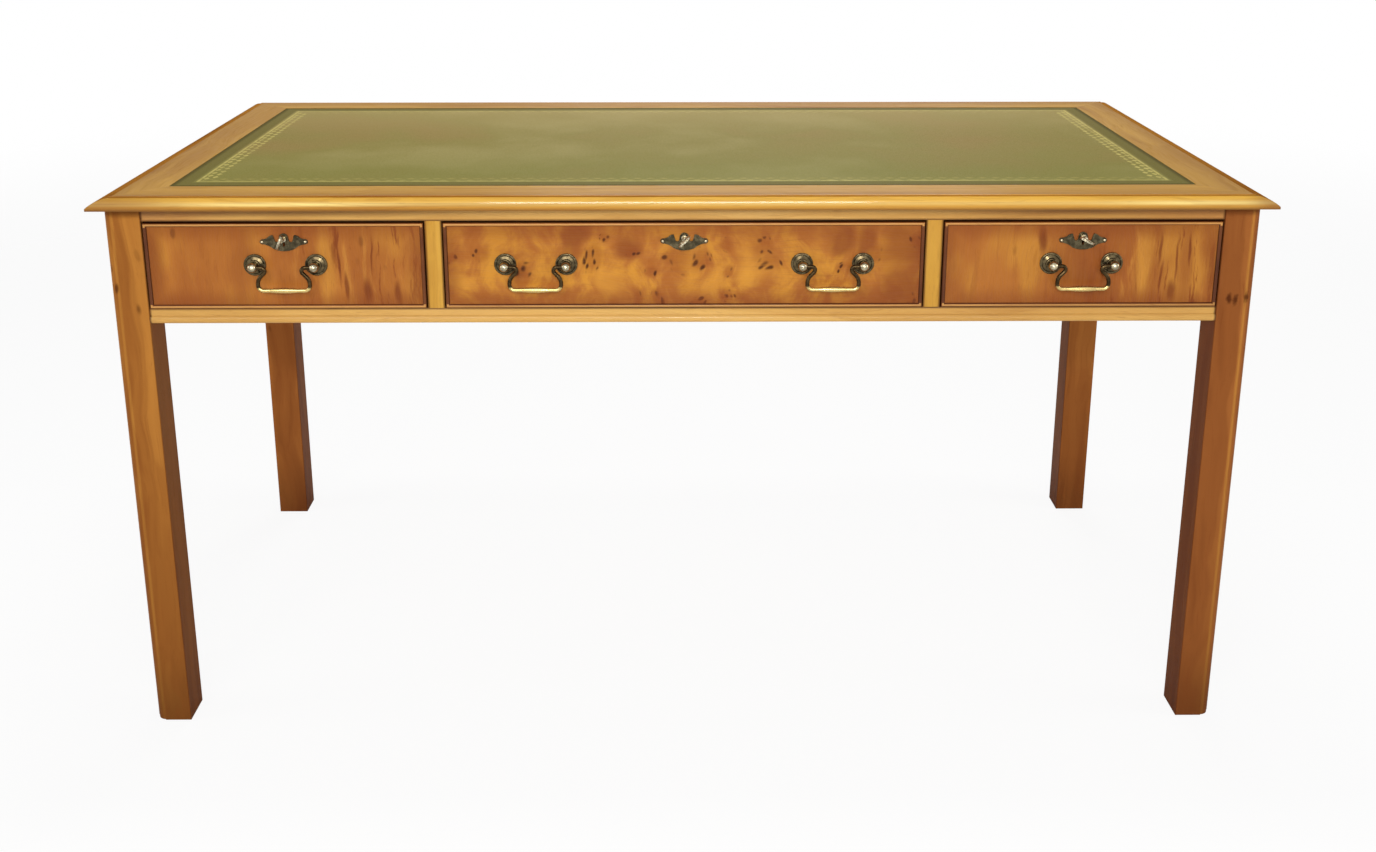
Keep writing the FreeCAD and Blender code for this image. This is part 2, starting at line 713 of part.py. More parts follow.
def build_drawer_sides(name, middle, half):
    """The two sides, with the tails that go into the drawer front."""
    side_top = drawer_top - size.side_drop
    height = side_top - drawer_low
    sides = []
    for sign in (-1, 1):
        outer = middle + half * sign
        inner = outer - size.lining_thickness * sign
        low_x, high_x = (outer, inner) if sign < 0 else (inner, outer)
        board = block(f"{name}_board", (low_x, front_inner_y, drawer_low), (high_x, rear_y, side_top))
        tails = []
        for centre_share in TAIL_CENTRE_SHARES:
            centre = drawer_low + height * centre_share
            end, root = height * (TAIL_END_SHARE / 2), height * (TAIL_ROOT_SHARE / 2)
            tail_y = front_inner_y - size.dovetail_length
            tails.append(wedge(
                f"{name}_tail", (low_x, tail_y, centre - end), (high_x, tail_y, centre + end),
                (low_x, front_inner_y, centre - root), (high_x, front_inner_y, centre + root)))
        sides.append(fuse(f"{name}_side", board, *tails))
    return sides


def build_cockbeads(name, low_x, high_x):
    """Four mitred beads round the drawer front, with a round nose in front of its face."""
    width, depth = size.cockbead_width, size.cockbead_depth
    nose = width / 2
    profile = (
        (NIL, -depth), (width, -depth), (width, NIL, nose, LEFT), (nose, nose, nose, LEFT), (NIL, NIL),
    )
    beads = []
    for side, (x, z), run, turn in ring_sides(low_x, drawer_low, high_x, drawer_top):
        beads.append(mitred_strip(
            f"{name}_{side}", profile, width, -depth - size.overrun, nose + size.overrun,
            run, (x, face_y, z), OUTWARD * upright(turn)))
    keep(name, group(name, *beads))


def keyhole(name, middle):
    """A keyhole through the plate, the drawer front and the lock's front plate."""
    start_y = face_y - size.plate_thickness - size.overrun
    end_y = lock_front_y + size.lock_wall + size.overrun
    run = end_y - start_y
    half_slot = size.keyhole_slot / 2
    barrel = rod(f"{name}_round", (middle, end_y, key_z), size.keyhole_radius, run, OUTWARD)
    slot = block(f"{name}_slot", (middle - half_slot, start_y, key_z - size.keyhole_depth),
                 (middle + half_slot, end_y, key_z))
    return fuse(name, barrel, slot)


def build_lock(side, middle, hole):
    """The lock case with the pin for the key, and its bolt."""
    half, wall = size.lock_width / 2, size.lock_wall
    low = drawer_top - size.lock_height
    case = block(f"{side}_lock_block", (middle - half, lock_front_y, low),
                 (middle + half, front_inner_y, drawer_top))
    hollow = block(
        f"{side}_lock_hollow",
        (middle - half + wall, lock_front_y + wall, low + wall),
        (middle + half - wall, front_inner_y - wall, drawer_top - wall),
    )
    slot = bolt_slot(f"{side}_lock_slot", middle, drawer_top - wall - size.overrun, drawer_top + size.overrun)
    pin = rod(f"{side}_lock_pin", (middle, front_inner_y - wall / 2, key_z), size.lock_pin_radius,
              size.lock_pin_length + wall / 2, OUTWARD)
    shell = cut(f"{side}_lock_shell", case, hollow, slot, hole)
    keep(f"{side}_lock_case", fuse(f"{side}_lock_case", shell, pin))
    half_bolt, half_thick = size.bolt_width / 2, size.bolt_thickness / 2
    keep(f"{side}_lock_bolt", block(
        f"{side}_lock_bolt", (middle - half_bolt, bolt_y - half_thick, key_z + size.bolt_lift),
        (middle + half_bolt, bolt_y + half_thick, drawer_top - size.bolt_sink)))
    return case


def build_key(side, middle, turn):
    """A barrel key: hollow shank, collar, ring bow and bit, built upright at the plate and then turned."""
    inside = size.front_thickness + size.plate_thickness - size.lock_wall - size.key_end_gap
    name = f"{side}_key"
    shank = rod(f"{name}_shank", (NIL, inside, NIL), size.key_shank_radius,
                inside + size.key_exposed + size.key_bow_sink, OUTWARD)
    collar = rod(f"{name}_collar", (NIL, -size.key_collar_gap, NIL), size.key_collar_radius,
                 size.key_collar_length, OUTWARD)
    bore = rod(f"{name}_bore", (NIL, inside + size.overrun, NIL), size.key_bore_radius,
               size.key_bore_depth + size.overrun, OUTWARD)
    half_bit = size.key_bit_thickness / 2
    bit = block(f"{name}_bit", (-half_bit, inside - size.key_bit_length, -size.key_bit_reach),
                (half_bit, inside, NIL))
    bow = new_body(f"{name}_bow")
    sketch = new_sketch(bow, "YZ_Plane")
    middle_y = -size.key_exposed - size.key_bow_length / 2
    for inset in (NIL, size.key_bow_rim):
        radius = size.key_bow_length / 2 - inset
        reach = size.key_bow_width / 2 - inset
        flat = reach - radius
        trace(sketch, (
            (middle_y + radius, -flat),
            (middle_y + radius, flat, radius, LEFT),
            (middle_y, reach, radius, LEFT),
            (middle_y - radius, flat),
            (middle_y - radius, -flat, radius, LEFT),
            (middle_y, -reach, radius, LEFT),
        ))
    pad(bow, sketch, size.key_bow_thickness)
    place(bow, -size.key_bow_thickness / 2, NIL, NIL)
    key = cut(name, fuse(f"{name}_whole", shank, collar, bit, bow), bore)
    place(key, middle, face_y - size.plate_thickness, key_z, Rotation(Vector(0, 1, 0), turn.value))
    key.setExpression("Placement.Rotation.Angle", f"{turn.text} * 1 deg")
    keep(name, key)


def build_escutcheon(side, middle, hole):
    """A batwing plate with a keyhole, and the two pins at its tips."""
    name = f"{side}_escutcheon"
    half, height = size.plate_width / 2, size.plate_height
    right_half = []
    for x, z, *bend in PLATE_SHARES:
        arc = (height * bend[0], bend[1]) if bend else ()
        right_half.append((half * x, height * z, *arc))
    outline = right_half[:-1] + mirrored(right_half)[:-1]
    plate = new_body(f"{name}_plate")
    sketch = new_sketch(plate, "XZ_Plane")
    trace(sketch, outline)
    pad(plate, sketch, size.plate_thickness)
    tips_z = key_z - size.plate_key_rise
    place(plate, middle, face_y, tips_z)

    pins = []
    plate_front = face_y - size.plate_thickness
    for sign in (-1, 1):
        pin = new_body(f"{name}_pin")
        sketch = new_sketch(pin, "XZ_Plane")
        head, shank, reach = size.plate_pin_radius, size.plate_pin_shank, size.plate_pin_length
        trace(sketch, ((NIL, -reach), (shank, -reach), (shank, NIL), (head, NIL, head, LEFT), (NIL, head)))
        revolve(pin, sketch, "V_Axis")
        pins.append(place(pin, middle + (half - size.plate_pin_inset) * sign, plate_front, tips_z, OUTWARD))
    keep(name, group(name, cut(f"{name}_pierced", plate, hole, *pins), *pins))
    return pins


def rose_profile():
    """The half section of a rose: hole, rim, hollow and boss."""
    radius, height = size.rose_radius, size.rose_height
    hole = size.post_shank_radius + size.post_clearance
    round_off = radius * (ROSE_RIM_SHARES[0] - ROSE_CROWN_SHARES[0])
    rim, crown, *hollow, shoulder, boss = [
        (radius * across, height * up)
        for across, up in (ROSE_RIM_SHARES, ROSE_CROWN_SHARES, *ROSE_SHARES, ROSE_BOSS_SHARES)
    ]
    return [
        (hole, NIL),
        (radius, NIL),
        (*rim, round_off, LEFT),
        crown,
        *hollow,
        (*shoulder, round_off, LEFT),
        boss,
        (hole, height),
    ]


def build_post(name, x, z, inward):
    """A rose, the ball-headed post through it and the nut inside, on one axis."""
    rose = new_body(f"{name}_rose")
    sketch = new_sketch(rose, "XZ_Plane")
    trace(sketch, rose_profile())
    revolve(rose, sketch, "V_Axis")
    place(rose, x, face_y, z, OUTWARD)

    post = new_body(f"{name}_post")
    sketch = new_sketch(post, "XZ_Plane")
    ball, reach, shank = size.ball_radius, size.post_reach, size.post_shank_radius
    neck = ball * BALL_NECK_SHARE
    end = -size.front_thickness - size.nut_height - size.post_end
    trace(sketch, (
        (NIL, end),
        (shank, end),
        (shank, size.rose_height),
        (neck, size.rose_height),
        (neck, reach - ball * BALL_NECK_DROP_SHARE, ball, LEFT),
        (ball, reach, ball, LEFT),
        (NIL, reach + ball),
    ))
    revolve(post, sketch, "V_Axis")
    place(post, x, face_y, z, OUTWARD)
    eye_x = x if inward > 0 else x - ball - size.overrun
    eye = rod(f"{name}_eye", (eye_x, face_y - reach, z), size.wire_radius + size.wire_clearance,
              ball + size.overrun, ALONG_X)

    nut = doc.addObject("Part::Prism", f"{name}_hexagon")
    bind(nut, Circumradius=size.nut_radius, Height=size.nut_height)
    place(nut, x, front_inner_y + size.nut_height, z, OUTWARD)
    thread = rod(f"{name}_thread", (x, front_inner_y + size.nut_height + size.overrun, z), shank,
                 size.nut_height + size.overrun * 2, OUTWARD)
    hole = rod(f"{name}_hole", (x, front_inner_y + size.overrun, z), shank + size.post_clearance,
               size.front_thickness + size.overrun * 2, OUTWARD)
    return rose, cut(f"{name}_eyed", post, eye), cut(f"{name}_nut", nut, thread), hole


def build_bail(name, middle, z):
    """A swan-neck bail: a wire swept along its bends, with a swollen grip."""
    bail = new_body(name)
    path = new_sketch(bail, "XZ_Plane")
    slant = DIAGONAL_SHARE
    x, drop = -(size.handle_pitch / 2), NIL
    left = [(x + size.bail_pin_gap, drop)]
    x = x + size.neck_reach
    left.append((x, drop, size.neck_radius, RIGHT))
    x, drop = x + size.neck_radius * slant, drop - size.neck_radius * (1 + slant)
    left.append((x, drop))
    x, drop = x - size.neck_run * slant, drop - size.neck_run * slant
    left.append((x, drop, size.neck_sweep, LEFT))
    x, drop = x - size.neck_sweep * (1 - slant), drop - size.neck_sweep * slant
    left.append((x, drop))
    drop = drop - size.cheek_run
    left.append((x, drop, size.cheek_radius, LEFT))
    x, drop = x + size.cheek_radius, drop - size.cheek_radius
    left.append((x, drop))
    corners = left + mirrored(left)
    trace(path, corners, closed=False)

    ring = new_sketch(bail, "YZ_Plane")
    ring.setExpression("AttachmentOffset.Base.z", left[0][0].text)
    ring.addGeometry(Part.Circle(Vector(), Vector(0, 0, 1), size.wire_radius.value))
    ring.addConstraint(Sketcher.Constraint("Coincident", 0, CENTRE_POINT, *SKETCH_ORIGIN))
    hold(ring, Sketcher.Constraint("Radius", 0, size.wire_radius.value), size.wire_radius)
    wire = bail.newObject("PartDesign::AdditivePipe", f"{name}_wire")
    wire.Profile = ring
    wire.Spine = (path, [f"Edge{span}" for span in range(1, len(corners))])

    grip = new_sketch(bail, "XZ_Plane")
    grip.setExpression("AttachmentOffset.Base.y", drop.text)
    half, rise = size.swell_length / 2, size.swell_rise
    end = size.wire_radius * SWELL_END_SHARE
    crown = (half * half + rise * rise) / (rise * 2)
    trace(grip, ((-half, NIL), (half, NIL), (half, end, crown, LEFT), (-half, end)))
    revolve(bail, grip, "H_Axis")
    keep(name, place(bail, middle, face_y - size.post_reach, z))


def build_drawer(side, middle, opening, handles, key_turn):
    """One drawer with its beads, linings, lock, key, escutcheon and handles."""
    half = opening / 2 - size.drawer_side_gap
    low_x, high_x = middle - half, middle + half
    bead, bead_y = size.cockbead_width, face_y + size.cockbead_depth
    core = block(f"{side}_front_core", (low_x, bead_y, drawer_low), (high_x, front_inner_y, drawer_top))
    panel = block(f"{side}_front_panel", (low_x + bead, face_y, drawer_low + bead),
                  (high_x - bead, bead_y, drawer_top - bead))
    build_cockbeads(f"{side}_drawer_beads", low_x, high_x)

    inner = half - size.lining_thickness
    bottom_low = drawer_low + size.bottom_rise
    bottom_top = bottom_low + size.bottom_thickness
    back_y = rear_y - size.back_inset
    bottom_half, back_half = inner + size.bottom_groove, inner + size.back_housing
    groove_y = front_inner_y - size.bottom_groove
    bottom = block(f"{side}_drawer_bottom", (middle - bottom_half, groove_y, bottom_low),
                   (middle + bottom_half, back_y, bottom_top))
    back = block(f"{side}_drawer_back", (middle - back_half, back_y - size.lining_thickness, bottom_top),
                 (middle + back_half, back_y, drawer_top - size.back_drop))
    keep(f"{side}_drawer_bottom", bottom)
    keep(f"{side}_drawer_back", back)
    sides = build_drawer_sides(f"{side}_drawer_lining", middle, half)
    grooved = [cut(f"{side}_drawer_grooved", board, bottom, back) for board in sides]
    keep(f"{side}_drawer_sides", group(f"{side}_drawer_sides", *grooved))

    hole = keyhole(f"{side}_keyhole", middle)
    pocket = build_lock(side, middle, hole)
    build_key(side, middle, key_turn)
    pins = build_escutcheon(side, middle, hole)

    handle_z = (drawer_low + drawer_top) / 2 + size.handle_rise
    roses, posts, post_holes = [], [], []
    for name, handle_x in handles:
        build_bail(f"{name}_bail", handle_x, handle_z)
        for sign in (-1, 1):
            rose, post, nut, post_hole = build_post(
                f"{name}_handle", handle_x + size.handle_pitch / 2 * sign, handle_z, -sign)
            roses.append(rose)
            posts += [post, nut]
            post_holes.append(post_hole)
    keep(f"{side}_handle_roses", group(f"{side}_handle_roses", *roses))
    keep(f"{side}_handle_posts", group(f"{side}_handle_posts", *posts))

    front = fuse(f"{side}_front_board", core, panel)
    sockets = cut(f"{side}_front_sockets", front, *sides, bottom, pocket)
    keep(f"{side}_drawer_front", cut(f"{side}_drawer_front", sockets, hole, *post_holes, *pins))


def build_drawers():
    offset = size.centre_handle_offset
    build_drawer("left", -side_drawer_x, side_opening, [("left", -side_drawer_x)], size.key_turn_left)
    build_drawer("centre", NIL, size.centre_opening,
                 [("centre_left", -offset), ("centre_right", offset)], size.key_turn_centre)
    build_drawer("right", side_drawer_x, side_opening, [("right", side_drawer_x)], size.key_turn_right)


def check_and_write():
    """Stops on any failed object or bad shape, and then writes each sub-part to its own file."""
    doc.recompute()
    failed = [thing.Label for thing in doc.Objects if {"Invalid", "Error"} & set(thing.State)]
    bad = [piece.Label for piece in pieces if piece.Shape.isNull() or not piece.Shape.isValid()]
    empty = [piece.Label for piece in pieces if not piece.Shape.isNull() and not piece.Shape.Solids]
    if failed or bad or empty:
        raise RuntimeError(f"failed {failed}, bad shapes {bad}, no solid {empty}")
    os.makedirs("parts", exist_ok=True)
    for piece in pieces:
        piece.Shape.exportStep(os.path.join("parts", f"{piece.Label}.step"))
    print(len(pieces), "sub-parts,", sum(len(piece.Shape.Solids) for piece in pieces), "solids")


build_frame()
build_runners()
build_stops()
build_top(build_kickers())
build_drawers()
check_and_write()
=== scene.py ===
"""Looks of the writing table: yew, gilt-tooled green leather and aged brass, under plain soft studio light.

Metres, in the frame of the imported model: X to the right, Y to the back, Z up, origin on the floor.
A span is a pair of values between which a mark comes or goes. A share is how far a mark carries the colour
under it to its own. A count is how often a pattern repeats in a metre, and a run is its count along the
grain.
"""
import math

import bpy
from mathutils import Euler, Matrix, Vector


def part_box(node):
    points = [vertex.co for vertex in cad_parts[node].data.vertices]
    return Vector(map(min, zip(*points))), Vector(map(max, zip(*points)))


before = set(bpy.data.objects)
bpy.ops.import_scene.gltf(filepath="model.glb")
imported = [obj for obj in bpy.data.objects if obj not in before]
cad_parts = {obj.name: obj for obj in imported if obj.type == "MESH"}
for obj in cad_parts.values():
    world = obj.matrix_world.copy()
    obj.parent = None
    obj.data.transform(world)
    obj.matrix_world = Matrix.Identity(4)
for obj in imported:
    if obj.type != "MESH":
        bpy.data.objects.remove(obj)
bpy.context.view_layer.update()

# The camera, solved from the photograph: a pinhole with the lens shifted down.
IMAGE_WIDTH_PX = 1376
FOCAL_PX = 1448
SENSOR_WIDTH_MM = 36
LENS_SHIFT = -0.13
CAMERA_PLACE = (-0.010, -2.172, 1.190)
LEVEL_DEG = 90
CAMERA_PITCH_DEG = 15.32
CAMERA_YAW_DEG = -0.47

SIDES = ("left", "centre", "right")
BAILS = ("left_bail", "centre_left_bail", "centre_right_bail", "right_bail")

# The curve that screen colours are stored on.
FULL_LEVEL = 255
DARK_LIMIT_SHARE = 0.04045
DARK_SLOPE = 12.92
CURVE_OFFSET = 0.055
CURVE_POWER = 2.4


def srgb(red, green, blue):
    """A colour given as it looks on screen, 0 to 255, in the linear numbers that shaders use."""
    linear = []
    for level in (red, green, blue):
        share = level / FULL_LEVEL
        if share <= DARK_LIMIT_SHARE:
            linear.append(share / DARK_SLOPE)
        else:
            linear.append(((share + CURVE_OFFSET) / (1.0 + CURVE_OFFSET)) ** CURVE_POWER)
    return (*linear, 1.0)


WHOLE_SPAN = (0.0, 1.0)
NOISE_MIDDLE = 0.5
NOISE_CENTRING = (-NOISE_MIDDLE, -NOISE_MIDDLE, -NOISE_MIDDLE)
NEW_STOP = 0.5
SHADING_SAMPLES = 6


class Finish:
    """A material under construction: short calls for the few kinds of node that the finishes need."""

    def __init__(self, name):
        self.material = bpy.data.materials.new(name)
        self.material.use_nodes = True
        self.tree = self.material.node_tree
        self.tree.nodes.clear()
        self.output = self.add("ShaderNodeOutputMaterial")
        self.shader = self.add("ShaderNodeBsdfPrincipled")
        self.tree.links.new(self.shader.outputs["BSDF"], self.output.inputs["Surface"])

    def add(self, kind, settings=None, **inputs):
        """Adds a node. settings are its properties. inputs are numbers, colours or other nodes' outputs."""
        node = self.tree.nodes.new(kind)
        for name, value in (settings or {}).items():
            setattr(node, name, value)
        self.fill(node, inputs)
        return node

    def fill(self, node, inputs):
        """Feeds a node's sockets by name, with _ for the spaces in a name."""
        for name, value in inputs.items():
            self.feed(node.inputs[name.replace("_", " ")], value)

    def feed(self, socket, value):
        """Links a socket to another node's output, or gives it a constant."""
        if isinstance(value, bpy.types.NodeSocket):
            self.tree.links.new(value, socket)
        else:
            socket.default_value = value

    def feed_all(self, node, values):
        """Feeds a node's first sockets in their order."""
        for socket, value in zip(node.inputs, values):
            self.feed(socket, value)

    def surface(self, **inputs):
        self.fill(self.shader, inputs)

    def place(self):
        """Where a point of the object is, in metres, whatever the pose."""
        return self.add("ShaderNodeTexCoord").outputs["Object"]

    def scaled(self, vector, scale, shift=(0, 0, 0)):
        return self.add("ShaderNodeMapping", Vector=vector, Scale=scale, Location=shift).outputs["Vector"]

    def parts(self, vector):
        node = self.add("ShaderNodeSeparateXYZ", Vector=vector)
        return node.outputs["X"], node.outputs["Y"], node.outputs["Z"]

    def joined(self, x, y, z):
        return self.add("ShaderNodeCombineXYZ", X=x, Y=y, Z=z).outputs["Vector"]

    def noise(self, vector, scale=1.0, detail=3.0, roughness=0.5, distortion=0.0, output="Fac"):
        node = self.add("ShaderNodeTexNoise", Vector=vector, Scale=scale, Detail=detail, Roughness=roughness,
                        Distortion=distortion)
        return node.outputs[output]

    def cells(self, vector, scale=1.0, feature="F1"):
        """How far a point is from the nearest of many scattered points."""
        node = self.add("ShaderNodeTexVoronoi", {"feature": feature}, Vector=vector, Scale=scale)
        return node.outputs["Distance"]

    def math(self, operation, first, second=0.0, third=0.0):
        node = self.add("ShaderNodeMath", {"operation": operation})
        self.feed_all(node, (first, second, third))
        return node.outputs["Value"]

    def centred(self, noise):
        """Noise with its middle carried to zero."""
        return self.math("SUBTRACT", noise, NOISE_MIDDLE)

    def apart(self, value, place):
        """How far a value is from a place, on either side of it."""
        return self.math("ABSOLUTE", self.math("SUBTRACT", value, place))

    def vector_math(self, operation, first, second, output="Vector"):
        node = self.add("ShaderNodeVectorMath", {"operation": operation})
        self.feed_all(node, (first, second))
        return node.outputs[output]

    def moved(self, vector, offset):
        return self.vector_math("ADD", vector, offset)

    def times(self, vector, factor):
        return self.vector_math("MULTIPLY", vector, factor)

    def distance(self, vector, point):
        return self.vector_math("DISTANCE", vector, point, "Value")

    def shaken(self, vector, count, reach):
        """A place carried about by soft noise, by up to half of reach."""
        noise = self.noise(vector, scale=count, detail=2.0, output="Color")
        return self.moved(vector, self.times(self.moved(noise, NOISE_CENTRING), reach))

    def between(self, value, span, ends=WHOLE_SPAN, smooth=True):
        """Carries a value from one span to another, held at the ends."""
        node = self.add("ShaderNodeMapRange", {"interpolation_type": "SMOOTHSTEP" if smooth else "LINEAR"})
        self.feed_all(node, (value, *span, *ends))
        return node.outputs["Result"]

    def rise(self, value, span, share=1.0):
        """0 before a span and share after it."""
        return self.between(value, span, (0.0, share))

    def fall(self, value, span, share=1.0):
        """share before a span and 0 after it."""
        return self.between(value, span, (share, 0.0))

    def band(self, value, span, soft):
        """1 within a span and 0 outside it, with soft edges."""
        low, high = span
        begun = self.rise(value, (low - soft, low + soft))
        left = self.fall(value, (high - soft, high + soft))
        return self.math("MULTIPLY", begun, left)

    def ramp(self, factor, stops):
        """A colour scale: stops are (position, colour)."""
        node = self.add("ShaderNodeValToRGB", Fac=factor)
        elements = node.color_ramp.elements
        while len(elements) < len(stops):
            elements.new(NEW_STOP)
        for element, (position, colour) in zip(elements, stops):
            element.position = position
            element.color = colour
        return node.outputs["Color"]

    def mix(self, factor, first, second, kind="RGBA"):
        """Carries a colour, or a place where kind is VECTOR, from first to second."""
        node = self.add("ShaderNodeMix", {"data_type": kind}, Factor=factor)
        ends = [socket for socket in node.inputs if socket.type == kind and socket.name in ("A", "B")]
        self.feed(ends[0], first)
        self.feed(ends[1], second)
        return next(socket for socket in node.outputs if socket.type == kind)

    def marked(self, colour, mark, share, tone):
        """A colour carried to tone by a share of a mark."""
        return self.mix(self.math("MULTIPLY", mark, share), colour, tone)

    def relief(self, height, strength, depth, edge_radius=0.0):
        """Fine relief over the surface, with its sharp edges eased by edge_radius."""
        node = self.add("ShaderNodeBump", Height=height, Strength=strength, Distance=depth)
        if edge_radius:
            eased = self.add("ShaderNodeBevel", {"samples": SHADING_SAMPLES}, Radius=edge_radius)
            self.tree.links.new(eased.outputs["Normal"], node.inputs["Normal"])
        return node.outputs["Normal"]


def below(height, depths):
    """The heights at some depths below a height."""
    return tuple(height - depth for depth in depths)


# Wood

GOLD_TONES = (srgb(210, 154, 60), srgb(192, 136, 48), srgb(158, 100, 34))
END_TONES = (srgb(184, 126, 52), srgb(166, 110, 44), srgb(134, 82, 32))
MUNTIN_TONES = (srgb(214, 164, 72), srgb(200, 149, 60), srgb(170, 113, 42))
APRON_TONES = (srgb(202, 142, 66), srgb(184, 122, 54), srgb(150, 90, 38))
PALE_TONES = (srgb(226, 182, 108), srgb(212, 164, 88), srgb(178, 124, 58))
LEG_TONES = (srgb(188, 126, 56), srgb(170, 110, 48), srgb(136, 78, 34))
DARK_LEG_TONES = (srgb(174, 110, 52), srgb(156, 94, 46), srgb(124, 68, 33))
BACK_LEG_TONES = (srgb(188, 121, 59), srgb(170, 105, 51), srgb(138, 79, 38))
DRAWER_TONES = (srgb(192, 124, 53), srgb(173, 106, 45), srgb(140, 77, 33))
BORDER_TONES = (srgb(202, 154, 68), srgb(187, 140, 58), srgb(160, 110, 41))
BEAD_TONES = (srgb(156, 92, 42), srgb(130, 72, 32), srgb(92, 46, 20))
OAK_TONES = (srgb(206, 176, 130), srgb(188, 154, 106), srgb(160, 124, 80))

LEG_TONES_OF = {
    "leg_front_left": LEG_TONES,
    "leg_front_right": DARK_LEG_TONES,
    "leg_back_left": BACK_LEG_TONES,
    "leg_back_right": BACK_LEG_TONES,
}

GRAIN_EDGE = 0.0007
GRAIN_DEPTH = 0.0004
WANDER_COUNT = 5.0
WANDER_REACH = (0.05, 0.05, 0.05)
STREAK_RUN = 1.1
GROWTH_SPAN = (-0.2, 1.0)
FIBRE_RUN = 9.0
FIBRE_COUNT = 420.0
FIBRE_SPAN = (0.5, 0.85)
FIBRE_SHARE = 0.34
FIBRE_DARK = srgb(112, 54, 22)
CLOUD_RUN = 2.2
CLOUD_COUNT = 5.0
CLOUD_SHARE = 0.55
TONE_SPAN = (0.27, 0.75)
MIDDLE_TONE_STOP = 0.48
PIP_RUN = 22.0
PIP_COUNT = 48.0
PIP_SPAN = (0.1, 0.24)
PIP_SHARE = 0.75
PIP_DARK = srgb(74, 33, 14)
PIP_FIELD_COUNTS = (7.0, 7.0, 7.0)
PIP_FIELD_SPAN = (0.66, 0.78)
GLOSS_SPAN = (0.2, 0.8)
GLOSS_BELOW = 0.05
GLOSS_ABOVE = 0.09


def along_grain(finish, vector, grain, along, across, shift):
    """Stretches a place so that a pattern runs along the grain: X, Y or Z."""
    scale = tuple(along if axis == grain else across for axis in "XYZ")
    return finish.scaled(vector, scale, shift)


def yew(name, grain, tones, shift=(0, 0, 0), streaks=9.0, rings=16.0, ring_share=0.28, pips=0.0, vector=None,
        finish=None, gloss=0.3, coat=0.05, coat_roughness=0.1, specular=0.1, figure=None, fibre_relief=0.12):
    """Polished yew: broad streaks of tone, growth lines, fine fibres and a few dark pips.

    tones go from light to dark, streaks is how many broad streaks lie across a metre, and pips is how common
    the dark pips are. vector and finish are given where the place is worked out first. coat is the share of
    clear polish, or a function that works it out from the place. figure adds a piece's own marks.
    """
    finish = finish or Finish(name)
    vector = vector or finish.place()
    swaying = finish.shaken(vector, WANDER_COUNT, WANDER_REACH)
    broad = along_grain(finish, swaying, grain, STREAK_RUN, streaks, shift)
    broad = finish.noise(broad, detail=3.0, distortion=0.4)
    growth = finish.math("SINE", finish.math("MULTIPLY", broad, rings * math.tau))
    growth = finish.between(growth, GROWTH_SPAN)
    fibre = along_grain(finish, swaying, grain, FIBRE_RUN, FIBRE_COUNT, shift)
    fibre = finish.noise(fibre, detail=4.0, roughness=0.6)
    cloud = finish.noise(along_grain(finish, vector, grain, CLOUD_RUN, CLOUD_COUNT, shift), detail=2.0)
    tone = finish.math("MULTIPLY_ADD", finish.centred(cloud), CLOUD_SHARE, broad)
    light, middle, dark = tones
    tone = finish.between(tone, TONE_SPAN, smooth=False)
    colour = finish.ramp(tone, ((0.0, light), (MIDDLE_TONE_STOP, middle), (1.0, dark)))
    if figure:
        colour = figure(finish, vector, colour)
    colour = finish.marked(colour, growth, ring_share, dark)
    colour = finish.mix(finish.rise(fibre, FIBRE_SPAN, FIBRE_SHARE), colour, FIBRE_DARK)
    if pips:
        knots = finish.cells(along_grain(finish, swaying, grain, PIP_RUN, PIP_COUNT, shift))
        field = finish.noise(finish.scaled(vector, PIP_FIELD_COUNTS, shift), detail=1.0)
        field_span = [end - pips for end in PIP_FIELD_SPAN]
        spot = finish.math("MULTIPLY", finish.fall(knots, PIP_SPAN), finish.rise(field, field_span))
        colour = finish.marked(colour, spot, PIP_SHARE, PIP_DARK)
    if callable(coat):
        coat = coat(finish, vector)
    roughness = finish.between(fibre, GLOSS_SPAN, (gloss - GLOSS_BELOW, gloss + GLOSS_ABOVE))
    normal = finish.relief(fibre, fibre_relief, GRAIN_DEPTH, GRAIN_EDGE)
    finish.surface(Base_Color=colour, Roughness=roughness, Normal=normal, Specular_IOR_Level=specular,
                   Coat_Weight=coat, Coat_Roughness=coat_roughness)
    return finish.material


# Burr figure of the middle drawer

# Clusters of pips: across, up and radius.
BURR_CLUSTERS = (
    (-0.264, 0.692, 0.014),
    (-0.300, 0.684, 0.009),
    (-0.211, 0.664, 0.009),
    (-0.113, 0.676, 0.019),
    (-0.099, 0.702, 0.009),
    (-0.060, 0.688, 0.010),
    (-0.038, 0.655, 0.009),
    (-0.012, 0.674, 0.014),
    (0.014, 0.676, 0.014),
    (0.052, 0.690, 0.010),
    (0.050, 0.657, 0.009),
    (0.098, 0.686, 0.018),
    (0.106, 0.668, 0.014),
    (0.201, 0.672, 0.009),
    (0.254, 0.684, 0.011),
    (0.295, 0.697, 0.010),
    (-0.066, 0.621, 0.010),
    (-0.034, 0.622, 0.011),
    (0.010, 0.623, 0.010),
    (0.052, 0.622, 0.013),
    (0.072, 0.621, 0.010),
    (0.295, 0.625, 0.012),
)
# Soft patches, red-brown and then gold: across, up and radius.
BURR_SHADES = (
    (0.286, 0.690, 0.040),
    (0.280, 0.640, 0.036),
    (0.200, 0.709, 0.026),
    (0.236, 0.698, 0.026),
    (-0.066, 0.692, 0.024),
    (-0.142, 0.704, 0.028),
)
BURR_GOLDS = (
    (0.088, 0.664, 0.036),
    (0.030, 0.642, 0.026),
    (-0.096, 0.642, 0.030),
    (-0.286, 0.646, 0.022),
)
